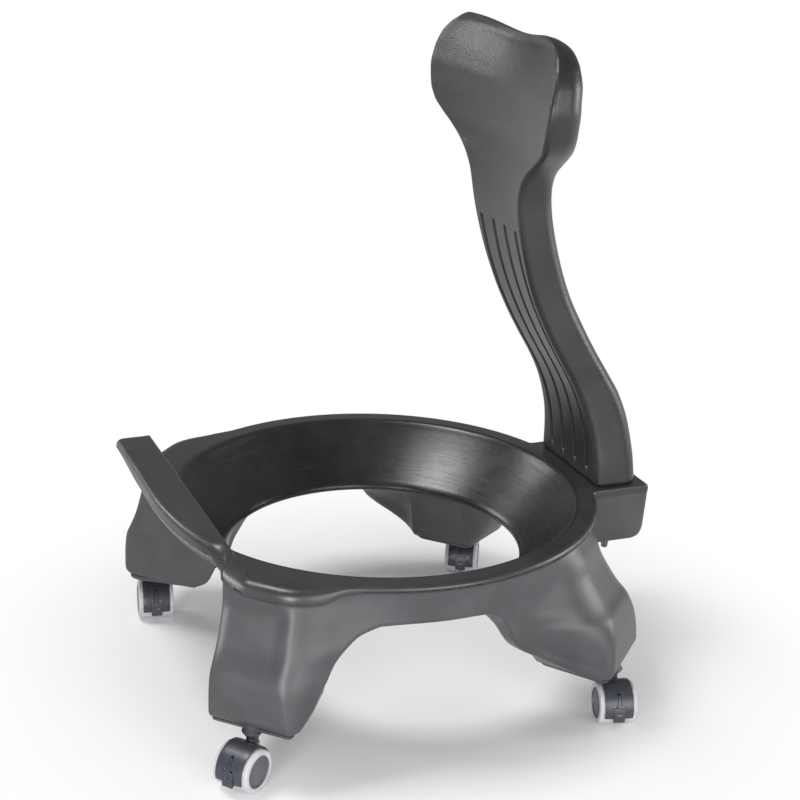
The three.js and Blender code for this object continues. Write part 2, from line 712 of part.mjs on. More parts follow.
const axleHeight = wheelRadius;
const treadSpace = wheelRadius + hoodGap;
const hoodRadius = treadSpace + hoodWall;
const hoodTop = axleHeight + hoodRadius;
const stemFoot = axleHeight + hoodWall / 2
  + Math.sqrt(treadSpace ** 2 - (casterTrail - stemRadius - seatGap) ** 2);
const pivotRadius = treadSpace + hoodWall / 2 + leverBarrelSet;

// A point about the axle, and a row of them from one angle to another.
function around(radius, angle, y) {
  return new THREE.Vector3(
    casterTrail + radius * Math.cos(angle * deg), y, axleHeight + radius * Math.sin(angle * deg));
}

function arc(radius, from, to, steps, y) {
  return Array.from({ length: steps + 1 }, (_, k) => around(radius, lerp(from, to, k / steps), y));
}

// A solid carried about the axle: at each angle a section of [radius, y] points.
function sweep(from, to, steps, section) {
  const loops = [];
  for (let k = 0; k <= steps; k++) {
    const angle = lerp(from, to, k / steps);
    loops.push(section(angle, k / steps).map(([radius, y]) => around(radius, angle, y)));
  }
  return skin(loops, false);
}

function flatSection(half, inner, outer) {
  return [[inner, -half], [inner, half], [outer, half], [outer, -half]];
}

// A pin along Y, centred on the caster's middle plane.
function crossPin(radius, halfLength, x, z, sides) {
  return pin(radius, -halfLength, halfLength, sides).rotate([90, 0, 0]).translate([x, 0, z]);
}

const { x: pivotX, z: pivotZ } = around(pivotRadius, leverPivotAngle, 0);
const slotTop = leverPivotAngle + Math.asin((leverBarrelRadius + seatGap) / pivotRadius) / deg;
const tongueHalf = (angle) => lerp(leverTongueFoot, leverTongueTip,
  (angle - leverPivotAngle) / (leverTipAngle - leverPivotAngle));

// The hood is a cover, a boss for the stem, cheeks for the lever's pins and a web between the wheels. The
// boss, the cheeks and the web end inside the cover's wall.
function casterHood() {
  const flank = hoodRadius - hoodEdge;
  const full = hoodHalfWidth - hoodEdge;
  const coverSection = [[treadSpace, -hoodHalfWidth], [treadSpace, hoodHalfWidth], [flank, hoodHalfWidth],
    [hoodRadius, full], [hoodRadius, -full], [flank, -hoodHalfWidth]];
  const cover = sweep(hoodFrontEnd, hoodRearEnd, hoodSteps, () => coverSection);
  const wallMiddle = treadSpace + hoodWall / 2;
  const boss = pin(stemBossRadius, axleHeight + stemBossRadius, hoodTop, smallSides);
  const slotHalf = leverHalfWidth + seatGap;
  const cheekHalf = slotHalf + leverPinLength + seatGap;
  const cheek = crossPin(leverBarrelRadius + leverCheek, cheekHalf, pivotX, pivotZ, smallSides);
  const wheelSpace = crossPin(wallMiddle, hoodHalfWidth, casterTrail, axleHeight, wheelSides);
  const web = [-webThickness / 2, webThickness / 2].map((y) => [
    ...arc(wallMiddle, webFrontEnd, webRearEnd, hoodSteps, y),
    ...arc(webBossRadius, webBossStart, webBossEnd, cornerSteps, y),
  ]);
  const inner = treadSpace - cutOverrun;
  const outer = hoodRadius + cutOverrun;
  const tabSlot = sweep(hoodFrontEnd - slotRun, slotTop, leverSteps,
    () => flatSection(slotHalf, inner, outer));
  const tongueSlot = sweep(leverPivotAngle, windowTop, leverSteps,
    (angle) => flatSection(tongueHalf(angle) + leverSlotGap, inner, outer));
  return cover
    .add(boss.add(cheek).subtract(wheelSpace))
    .add(skin(web, false))
    .subtract(tabSlot)
    .subtract(tongueSlot)
    .subtract(crossPin(leverPinRadius + seatGap, slotHalf + leverPinLength, pivotX, pivotZ, tinySides))
    .subtract(crossPin(axleRadius + seatGap, webThickness, casterTrail, axleHeight, smallSides))
    .subtract(pin(stemRadius + seatGap, stemFoot - seatGap, hoodTop + cutOverrun, smallSides));
}

function brakeLever() {
  const tab = sweep(leverPivotAngle, leverEndAngle, leverSteps,
    (angle, share) => flatSection(leverHalfWidth, treadSpace, hoodRadius + leverLip * share));
  const tongue = sweep(leverPivotAngle, leverTipAngle, leverSteps,
    (angle) => flatSection(tongueHalf(angle), treadSpace, hoodRadius));
  return tab
    .add(tongue)
    .add(crossPin(leverBarrelRadius, leverHalfWidth, pivotX, pivotZ, smallSides))
    .add(crossPin(leverPinRadius, leverHalfWidth + leverPinLength, pivotX, pivotZ, tinySides));
}

// The pin stands in the hood, and its collar lies between the hood and the socket's flange.
function casterStem() {
  const collarBottom = hoodTop + seatGap;
  const collarTop = socketBottom - seatGap;
  return turned([[0, stemFoot], [stemRadius, stemFoot], [stemRadius, collarBottom],
    [stemBossRadius, collarBottom], [stemBossRadius, collarTop], [stemRadius, collarTop],
    [stemRadius, stemTop], [0, stemTop]], smallSides);
}

// Wheels stand on their inner face: +Z is outwards along the axle.
const hubRadius = wheelRadius - tyreThickness - seatGap;
const hubFace = wheelWidth - hubRim;
const axleHalfLength = axleLength / 2;
const wheelInner = webThickness / 2 + wheelGap;

function wheelTyre() {
  const inner = wheelRadius - tyreThickness;
  const tread = wheelRadius - tyreEdge;
  return turned([[inner, 0], [wheelRadius, 0], [wheelRadius, wheelWidth - tyreEdge], [tread, wheelWidth],
    [inner, wheelWidth], [inner, 0]], wheelSides);
}

// Section of a hub's face: shares of its radius out and of the dome's height up
const hubDomeShares = [[0.55, 0.8], [0, 1]];

function wheelHub() {
  const bore = axleRadius + seatGap;
  const boreEnd = axleHalfLength + seatGap - wheelInner;
  const face = hubDomeShares.map(([outShare, upShare]) =>
    [hubRadius * outShare, hubFace + hubDome * upShare]);
  return turned([[0, boreEnd], [bore, boreEnd], [bore, 0], [hubRadius, 0], [hubRadius, wheelWidth],
    [hubRadius - hubRim, wheelWidth], [hubRadius - hubRim, hubFace], ...face], wheelSides);
}

function part(name, geometry, material) {
  const mesh = new THREE.Mesh(geometry, material);
  mesh.name = name;
  return mesh;
}

function boltParts() {
  const headTop = blockBottom - 2 * seatGap - washerThickness;
  const headBottom = headTop - boltHeadLength;
  const bolt = turned([[0, headBottom], [boltHeadRadius - boltHeadTaper, headBottom],
    [boltHeadRadius, headTop], [boltRadius, headTop], [boltRadius, boltTip], [0, boltTip]], smallSides);
  const washerTop = blockBottom - seatGap;
  const washerBottom = washerTop - washerThickness;
  const bore = boltRadius + seatGap;
  const washer = turned([[bore, washerBottom], [washerRadius, washerBottom], [washerRadius, washerTop],
    [bore, washerTop], [bore, washerBottom]], smallSides);
  const pieces = boltPlaces.map(({ side, x, y }) => {
    const sideName = side > 0 ? 'left' : 'right';
    const pair = [part(`back_bolt_${sideName}`, geometryOf(bolt), materials.steel),
      part(`back_washer_${sideName}`, geometryOf(washer), materials.steel)];
    for (const mesh of pair) mesh.position.set(x, y, 0);
    return pair;
  });
  return pieces.flat();
}

const shared = {
  stem: geometryOf(casterStem()),
  hood: geometryOf(casterHood()),
  lever: geometryOf(brakeLever()),
  axle: geometryOf(pin(axleRadius, -axleHalfLength, axleHalfLength, smallSides)),
  tyre: geometryOf(wheelTyre()),
  hub: geometryOf(wheelHub()),
  socket: geometryOf(casterSocket()),
};

function casterParts(end) {
  const caster = new THREE.Group();
  caster.add(
    part(`caster_stem_${end.name}`, shared.stem, materials.steel),
    part(`caster_hood_${end.name}`, shared.hood, materials.hood),
    part(`brake_lever_${end.name}`, shared.lever, materials.hood),
  );
  const axle = part(`caster_axle_${end.name}`, shared.axle, materials.steel);
  axle.rotation.x = Math.PI / 2;
  axle.position.set(casterTrail, 0, axleHeight);
  caster.add(axle);
  for (const [side, sideName] of [[1, 'a'], [-1, 'b']]) {
    const tyre = part(`wheel_tyre_${end.name}_${sideName}`, shared.tyre, materials.tyre);
    const hub = part(`wheel_hub_${end.name}_${sideName}`, shared.hub, materials.hub);
    for (const mesh of [tyre, hub]) {
      mesh.rotation.x = (-side * Math.PI) / 2;
      mesh.position.set(casterTrail, side * wheelInner, axleHeight);
      caster.add(mesh);
    }
  }
  caster.rotation.z = end.heading * deg;
  caster.position.set((end.x * casterSpacingX) / 2, (end.y * casterSpacingY) / 2, 0);

  const socket = part(`caster_socket_${end.name}`, shared.socket, materials.cap);
  socket.position.copy(caster.position);
  return [caster, socket, part(`leg_cap_${end.name}`, geometryOf(legCap(end)), materials.cap)];
}

const chair = new THREE.Group();
chair.position.y = ringShift;
chair.add(
  part('base_frame', geometryOf(baseFrame()), materials.moulding),
  part('back_support', geometryOf(backSupport()), materials.moulding),
  ...boltParts(),
  ...casters.flatMap(casterParts),
);

export default chair;
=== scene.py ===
"""Balance ball chair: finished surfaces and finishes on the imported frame.

All lengths below are in millimetres and become metres in the meshes. Plan shapes are worked out about the
seat ring's centre, which lies RING_SHIFT in front of the frame's origin.
"""

import bmesh
import bpy
import numpy as np
from bpy.props import FloatProperty, FloatVectorProperty, PointerProperty
from mathutils import Matrix, Vector


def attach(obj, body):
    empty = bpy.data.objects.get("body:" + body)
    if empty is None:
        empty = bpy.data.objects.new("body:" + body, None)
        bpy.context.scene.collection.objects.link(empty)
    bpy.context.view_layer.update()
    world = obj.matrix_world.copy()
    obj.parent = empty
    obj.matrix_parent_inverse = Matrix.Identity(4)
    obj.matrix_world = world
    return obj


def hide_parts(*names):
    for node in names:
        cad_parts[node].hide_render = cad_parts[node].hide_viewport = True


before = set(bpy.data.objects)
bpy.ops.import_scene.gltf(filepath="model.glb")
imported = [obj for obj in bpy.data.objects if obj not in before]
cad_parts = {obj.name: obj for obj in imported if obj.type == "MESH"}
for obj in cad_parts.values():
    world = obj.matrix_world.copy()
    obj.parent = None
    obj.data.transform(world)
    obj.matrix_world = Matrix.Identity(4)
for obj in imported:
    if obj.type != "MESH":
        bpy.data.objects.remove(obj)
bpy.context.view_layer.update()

bl_info = {
    "name": "Balance ball chair",
    "version": (1, 0, 0),
    "blender": (4, 5, 0),
    "location": "View3D > Sidebar > Ball chair",
    "description": "Builds the surfaces, finishes and stage of a balance ball chair on its packed frame",
    "category": "Object",
}

MM = 0.001
SAME_PLACE = 0.001
WHITE = (1, 1, 1, 1)

# Seat ring and bowl
RING_SHIFT = -26
BAND_HEIGHT = 232
RING_RADIUS = 270
BAND_WIDTH = 26
BAND_LIP = 6
BAND_EDGE = 2.5
BOWL_DEPTH = 72
BOWL_RUN = 66
BOWL_SAG = 3
HOLE_EDGE = 5
SKIRT_INSET = 11
ARCH_DROP = 52
SKIRT_WALL = 24

# Front bar
BAR_RISE = 30
BAR_THICKNESS = 26
BAR_TIP = 14
BAR_WIDTH = 44
BAR_OVERHANG = 9.7
BAR_BOW_LEFT = 30
BAR_BOW_RIGHT = 1
BAR_EDGE = 9
BAR_HALF_LENGTH = 164
BAR_END_RUN = 22
BAR_RAMP = 24
BAR_CORNER = 14
BAR_UNDERCUT = 5
BAR_REAR_EDGE = 1.3
SEAM_PLACE = 0.56
SEAM_HALF = 0.25
SEAM_REACH = 0.7
SEAM_STEP = 0.3
BAR_DROP_BEFORE = 2
BAR_DROP_PAST = 10
FRONT_WALL = 22

# Legs
CASTER_SPACING_X = 434
CASTER_SPACING_Y = 448
FOOT_NOSE = 15
FOOT_DEPTH = 102
FOOT_HALF_WIDTH = 56
FOOT_GAP_HALF_WIDTH = 50
FOOT_BOTTOM = 70
FOOT_ROUND = 6
FOOT_CURL = 13
LEG_CORNER = 16
LEG_ROUND = 26
PAD_OVERHANG = 30
PAD_HALF_WIDTH = 47
PAD_ROLL = 15
PAD_START = 3
PAD_END = 20
PANEL_DEPTH = 6
PANEL_HALF_WIDTH = 34

# Leg caps
CAP_HEIGHT = 8
CAP_INSET = 7
CAP_ROUND = 7
CAP_CURL = 14
CAP_HALF_DEGREES = 9.4

# Sockets in the legs: the flange below the cap, and the bush in the leg
SOCKET_RADIUS = 10
SOCKET_TOP = 101.7
FLANGE_RADIUS = 12
FLANGE_THROAT = 9.5
FLANGE_DEPTH = 4
FLANGE_EDGE = 0.6

# Socket block
BLOCK_HALF_WIDTH = 87
BLOCK_REAR = 332.7
BLOCK_FRONT = 247
BLOCK_BOTTOM = 160
BLOCK_ROUND = 24
BLOCK_CORNER = 12
BLOCK_EDGE = 4
BLOCK_DRAFT = 5
BLOCK_INSIDE = 8
BLOCK_OUTSIDE = 14

# Directions about the ring: how many are tried, and how much closer they stand at how many degrees from
# the middle of a leg or of the block, and over how many degrees
FINE_TURN = 14400
LEG_CROWD = (3, 10.5, 3.4)
BLOCK_CROWD = (9, 16.8, 1.7)

# Bolts and washers under the socket block
BOLT_PLACES = {"left": 58, "right": -58}
BOLT_SET_BACK = 28
BOLT_RADIUS = 4
BOLT_TIP = 207
BOLT_HEAD_RADIUS = 6
BOLT_HEAD_DEPTH = 17
WASHER_RADIUS = 11
WASHER_HEIGHT = 2

# Back
SEAT_GAP = 0.3
BACK_HEIGHT = 790
HEAD_HALF_WIDTH = 168
BACK_FRONT = 264
BACK_REACH = 146
BACK_DEPTH = 59
HEAD_WRAP = 22
HEAD_DIP = 9
LOBE_PLACE = 0.64 * HEAD_HALF_WIDTH
FRONT_CORNER = 8
REAR_CORNER = 19
FOOT_CHAMFER = 2.4
GROOVE_SPACING = 31.5
GROOVE_HALF_WIDTH = 3.8
GROOVE_DEPTH = 5
GROOVES = (-1.5, -0.5, 0.5, 1.5)
GROOVE_LOW = 246
GROOVE_HIGH = 556
GROOVE_END = 0.6
GROOVE_FLANK = (0.25, 1.12)

# Casters, in a frame of their own: the stem on Z, the brake lever towards +X
WHEEL_RADIUS = 25
WHEEL_WIDTH = 19.5
WHEEL_INNER = 3
TYRE_THICKNESS = 6.2
HUB_RECESS = 1.2
HUB_DOME = 1.6
AXLE_RADIUS = 3
AXLE_HALF_LENGTH = 19
CASTER_TRAIL = 18
WEB_HALF = 2.5
HOOD_GAP = 1
HOOD_WALL = 2
HOOD_HALF_WIDTH = 17
STEM_RADIUS = 5
STEM_COLLAR = 7
STEM_TOP = 98
STEM_FOOT = 48
COLLAR_DEPTH = 12
WEB_START = 56
WEB_END = 188
WEB_BOSS_RADIUS = 7
NECK_FOOT = 46
NECK_FLARE = 1.6
HOOD_FRONT = -15
HOOD_REAR = 196
HOOD_DOME = 0.5
HOOD_SHOULDER = 4
WINDOW_TOP = 50
STEP_DEGREES = 0.05
SLOT_PAST_PIVOT = 3.6
LEVER_PIVOT = 14
LEVER_END = -22
LEVER_TIP = 46
LEVER_HALF_WIDTH = 6.7
LEVER_LIP = 3
LEVER_DENT = 0.9
DENT_PLACE = -1
DENT_HALF_WIDTH = 2.9
DENT_HALF_DEGREES = 3.5
TONGUE_FOOT = 2.4
TONGUE_TIP = 1.3
TONGUE_GAP = 0.6

# Painted light and shade as factors on the moulding's colour: painted shade in the bowl, painted light down
# the outside
BOWL_PAINTED_LIGHT = 0.45
BAND_PAINTED_LIGHT = 0.95
SKIRT_PAINTED_LIGHT = 1.7

# Camera, about the ring's centre: place, direction and roll in degrees, lens for a 36 mm frame
CAMERA_PLACE = (1791.4, -722.1, 1047.5)
CAMERA_AZIMUTH = 67.29
CAMERA_PITCH = 19.88
CAMERA_ROLL = 2.14
CAMERA_LENS = 77.14

# Lamps, in metres: place and width, and all of them face LAMP_AIM
LAMP_AIM = (0, 0, 0.3)
LAMPS = {
    "key": ((2.0, -1.8, 0.5), 0.9),
    "fill": ((2.4, 0.35, 0.5), 1.8),
    "top": ((-0.2, -1.0, 2.3), 0.8),
    "rim": ((-2.0, -1.7, 1.3), 0.8),
    "side": ((0.6, 2.4, 0.8), 1.0),
}
FLOOR_REACH = 60
SHADOW_START = 0.22
SHADOW_END = 0.6

CASTERS = {
    "front_left": (1, -1, -53),
    "rear_left": (1, 1, -14),
    "front_right": (-1, -1, -10),
    "rear_right": (-1, 1, -29),
}

LEG_ANGLE = np.arctan2(CASTER_SPACING_Y, CASTER_SPACING_X)
CASTER_REACH = np.hypot(CASTER_SPACING_X, CASTER_SPACING_Y) / 2
FOOT_REACH = CASTER_REACH + FOOT_NOSE
SKIRT_RADIUS = RING_RADIUS - SKIRT_INSET
HOLE_RADIUS = RING_RADIUS - BAND_WIDTH - BOWL_RUN
HOLE_HEIGHT = BAND_HEIGHT - BOWL_DEPTH
BAR_FRONT = RING_RADIUS + BAR_OVERHANG
BAR_REAR = BAR_FRONT - BAR_WIDTH
BAR_END = BAR_HALF_LENGTH + BAR_END_RUN
BAR_TOP = BAND_HEIGHT + BAR_RISE
WALL_SLOPE = (BAR_REAR - HOLE_RADIUS) / (BAR_TOP - HOLE_HEIGHT)
TREAD_SPACE = WHEEL_RADIUS + HOOD_GAP
HOOD_RADIUS = TREAD_SPACE + HOOD_WALL

# Shares of the band's height against shares of the way from a leg's top to its foot
FRONT_REACH = [(0.3, 1), (0.41, 1), (0.51, 0.96), (0.6, 0.77), (0.67, 0.6), (0.74, 0.42), (0.85, 0.17),
               (0.95, 0), (1, 0)]
REAR_REACH = [(0.3, 1), (0.42, 0.985), (0.51, 0.95), (0.6, 0.84), (0.65, 0.68), (0.73, 0.49), (0.8, 0.34),
              (0.88, 0.22), (0.96, 0.04), (1, 0)]
LEG_WIDTH = [(0.3, 1), (0.45, 0.95), (0.56, 0.7), (0.65, 0.35), (0.75, 0.05), (1, 0)]
LEG_FLARE = [(0.32, 0), (0.47, 0.38), (0.6, 0.68), (0.72, 1), (1, 1)]
PANEL = [(0.56, 0), (0.69, 1), (0.84, 1), (0.93, 0)]

# Degrees from a leg's middle against shares of the way from the foot up to the arch
FRONT_ARCH = [(11.6, 0), (12.6, 0.12), (14.5, 0.9), (16, 1)]
SIDE_ARCH = [(10.2, 0), (12, 0.15), (13.5, 0.35), (15, 0.52), (16.3, 0.68), (18.4, 0.82), (21.6, 0.94),
             (26, 1)]
REAR_SIDE_ARCH = [(10, 0), (14.4, 0.14), (19, 0.27), (23.6, 0.385), (26.6, 0.48), (28.4, 0.57), (31.5, 0.8),
                  (33.5, 0.9), (38, 0.99), (42, 1)]
UNDERSIDE = [(0, 0), (0.2, 0.36), (0.45, 0.62), (0.75, 0.88), (1, 1)]

# Back support: share of the height above the foot, then half width, lean, thickness and wrap as shares
BACK = [
    (0, 0.467, 0, 1, 0), (0.05, 0.45, 0.012, 0.99, 0), (0.1, 0.424, 0.04, 0.99, 0.03),
    (0.15, 0.404, 0.09, 1, 0.07), (0.2, 0.387, 0.163, 0.99, 0.1), (0.25, 0.379, 0.262, 0.95, 0.1),
    (0.3, 0.378, 0.378, 0.93, 0.1), (0.36, 0.376, 0.508, 0.915, 0.1), (0.43, 0.374, 0.636, 0.88, 0.1),
    (0.51, 0.386, 0.747, 0.849, 0.1), (0.6, 0.402, 0.837, 0.82, 0.12), (0.645, 0.414, 0.867, 0.805, 0.18),
    (0.675, 0.435, 0.88, 0.79, 0.25), (0.7, 0.482, 0.89, 0.77, 0.34), (0.72, 0.545, 0.897, 0.75, 0.45),
    (0.74, 0.635, 0.905, 0.74, 0.56), (0.76, 0.74, 0.922, 0.735, 0.68), (0.78, 0.84, 0.95, 0.74, 0.78),
    (0.805, 0.925, 0.985, 0.75, 0.88), (0.835, 0.975, 1, 0.74, 0.96), (0.875, 1, 0.997, 0.71, 1),
    (0.91, 0.99, 0.975, 0.67, 1), (0.945, 0.945, 0.94, 0.58, 1), (0.97, 0.87, 0.9, 0.46, 0.95),
    (0.985, 0.79, 0.87, 0.34, 0.9), (0.995, 0.7, 0.855, 0.2, 0.85), (1, 0.63, 0.845, 0.06, 0.8),
]
BACK_DIP = [(0.7, 0), (0.85, 0.15), (0.94, 0.6), (1, 1)]


# Curves

def soft_min(a, b, width):
    """The lesser of two values, rounded by a parabola where they are within width of each other."""
    share = np.clip(0.5 + (b - a) / (2 * width), 0, 1)
    return b + (a - b) * share - width * share * (1 - share)


def soft_max(a, b, width):
    """The greater of two values, rounded in the same way."""
    return -soft_min(-a, -b, width)


def ease(value, low, high):
    """The cubic 3t^2 - 2t^3 that rises from 0 at low to 1 at high."""
    t = np.clip((value - low) / (high - low), 0, 1)
    return t * t * (3 - 2 * t)


def blend(a, b, share):
    """The straight line a + (b - a) share."""
    return a + (b - a) * share


def along(rows, place):
    """Cubic through rows of (place, value) that never overshoots.

    Each tangent is the harmonic mean of the slopes beside it, or 0 where they differ in sign.
    """
    x, y = np.array(rows, float).T
    place = np.clip(place, x[0], x[-1])
    step = np.diff(x)
    slope = np.diff(y) / step
    product = slope[:-1] * slope[1:]
    total = np.where(product > 0, slope[:-1] + slope[1:], 1)
    mean = np.where(product > 0, 2 * product / total, 0)
    tangent = np.concatenate([slope[:1], mean, slope[-1:]])
    i = np.clip(np.searchsorted(x, place, side="right") - 1, 0, len(step) - 1)
    t = (place - x[i]) / step[i]
    turn = step[i] * t * (1 - t)
    rest = y[i] * (1 + 2 * t) * (1 - t) ** 2 + y[i + 1] * t * t * (3 - 2 * t)
    return rest + turn * ((1 - t) * tangent[i] - t * tangent[i + 1])


def rounded_path(corners, cuts, steps=5):
    """Corners joined by straight lines, each corner cut short by its length and bridged by a parabola."""
    corner = np.array(corners, float)
    before = np.roll(corner, 1, axis=0) - corner
    after = np.roll(corner, -1, axis=0) - corner
    cut = np.broadcast_to(np.array(cuts, float), len(corner))
    reach = np.minimum(np.linalg.norm(before, axis=1), np.linalg.norm(after, axis=1)) / 2
    cut = np.minimum(cut, reach)[:, None]
    start = corner + before / np.linalg.norm(before, axis=1)[:, None] * cut
    end = corner + after / np.linalg.norm(after, axis=1)[:, None] * cut
    t = np.linspace(0, 1, steps + 1)[None, :, None]
    curve = start[:, None] * (1 - t) ** 2 + 2 * t * (1 - t) * corner[:, None] + t * t * end[:, None]
    return curve.reshape(-1, corner.shape[1])


# Meshes

def grid_faces(rows, columns, wrap_rows=False, wrap_columns=True):
    """Four-sided faces between neighbouring rows and columns of a grid of points, kept row by row."""
    i = np.arange(rows if wrap_rows else rows - 1)[:, None]
    j = np.arange(columns if wrap_columns else columns - 1)[None, :]
    below, beyond = (i + 1) % rows, (j + 1) % columns
    corners = [i * columns + j, i * columns + beyond, below * columns + beyond, below * columns + j]
    return np.stack(corners, axis=-1).reshape(-1, 4)


def ladder_faces(start, count):
    """Rungs that close a loop whose first half faces its second half, point by point."""
    j = np.arange(count // 2 - 1)
    return np.stack([start + j, start + j + 1, start + count - 2 - j, start + count - 1 - j], axis=-1)


def shell(outer, inner):
    """A closed solid between two sheets of the same grid: both sheets, and walls along their edges."""
    rows, columns = outer.shape[:2]
    count = rows * columns
    sheet = grid_faces(rows, columns, wrap_columns=False)
    index = np.arange(count).reshape(rows, columns)
    rim = np.concatenate([index[0], index[1:, -1], index[-1, -2::-1], index[-2:0:-1, 0]])
    beyond = np.roll(rim, -1)
    walls = np.stack([beyond, rim, rim + count, beyond + count], axis=-1)
    points = np.concatenate([outer.reshape(-1, 3), inner.reshape(-1, 3)])
    return points, np.concatenate([sheet, sheet[:, ::-1] + count, walls])


def lathe(profile, sides):
    """A profile of (radius, height) turned about Z; its ends lie on the axis or meet each other."""
    turn = np.linspace(0, 2 * np.pi, sides, endpoint=False)
    radius, height = np.array(profile, float).T
    x, y = radius[:, None] * np.cos(turn), radius[:, None] * np.sin(turn)
    points = np.stack([x, y, np.broadcast_to(height[:, None], x.shape)], axis=-1)
    return points.reshape(-1, 3), grid_faces(len(radius), sides)


def merged(parts):
    """Several closed solids as the points and faces of one mesh."""
    offsets = np.cumsum([0] + [len(points) for points, _ in parts[:-1]])
    faces = [faces + offset for (_, faces), offset in zip(parts, offsets)]
    return np.concatenate([points for points, _ in parts]), np.concatenate(faces)


def put_in_scene(name, data):
    """A new object in the scene that shows a mesh, a lamp or the camera."""
    made = bpy.data.objects.new(name, data)
    bpy.context.scene.collection.objects.link(made)
    return made


def make_piece(name, solid, finish, body, node, marks=None):
    """A mesh object from points in millimetres about the ring's centre, with its place in its mesh."""
    points, faces = solid
    if not (len(faces) and np.isfinite(points).all()):
        raise ValueError(f"{name} has no surface")
    mesh = bpy.data.meshes.new(name)
    place = (points + np.array([0, RING_SHIFT, 0])) * MM
    mesh.vertices.add(len(place))
    mesh.vertices.foreach_set("co", place.astype(np.float32).ravel())
    mesh.loops.add(faces.size)
    mesh.loops.foreach_set("vertex_index", faces.astype(np.int32).ravel())
    mesh.polygons.add(len(faces))
    mesh.polygons.foreach_set("loop_start", np.arange(0, faces.size, 4, dtype=np.int32))
    mesh.polygons.foreach_set("loop_total", np.full(len(faces), 4, dtype=np.int32))
    for title, values in (marks or {}).items():
        mark = mesh.attributes.new(title, "FLOAT", "POINT")
        mark.data.foreach_set("value", values.astype(np.float32).ravel())
    mesh.update(calc_edges=True)
    mesh.validate()
    work = bmesh.new()
    work.from_mesh(mesh)
    bmesh.ops.remove_doubles(work, verts=work.verts, dist=SAME_PLACE * MM)
    bmesh.ops.dissolve_degenerate(work, edges=work.edges, dist=SAME_PLACE * MM)
    if work.calc_volume(signed=True) < 0:
        bmesh.ops.reverse_faces(work, faces=work.faces)
    for face in work.faces:
        face.smooth = True
    work.to_mesh(mesh)
    work.free()
    mesh.materials.append(finish_named(finish))
    piece = put_in_scene(name, mesh)
    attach(piece, body)
    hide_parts(node)
    return piece


def bevel(piece, width):
    """Rounds a piece's sharp edges, and keeps its flat faces flat."""
    step = piece.modifiers.new("edges", "BEVEL")
    step.width = width
    step.segments = 2
    step.limit_method = "ANGLE"
    step.angle_limit = np.radians(35)
    step.harden_normals = True


# Seat ring, bowl, bar, legs and socket block: one loft about the ring's centre

def leg_radius(off, reach, half_width, flare):
    """Distance to a leg's outer face or to its side, whichever is less.

    The face is at reach / cos(off), the side at (half width + flare reach) / (sin(off) + flare cos(off)).
    """
    across = np.maximum(np.sin(off) + flare * np.cos(off), 0.1)
    return soft_min(reach / np.cos(off), (half_width + flare * reach) / across, LEG_ROUND)


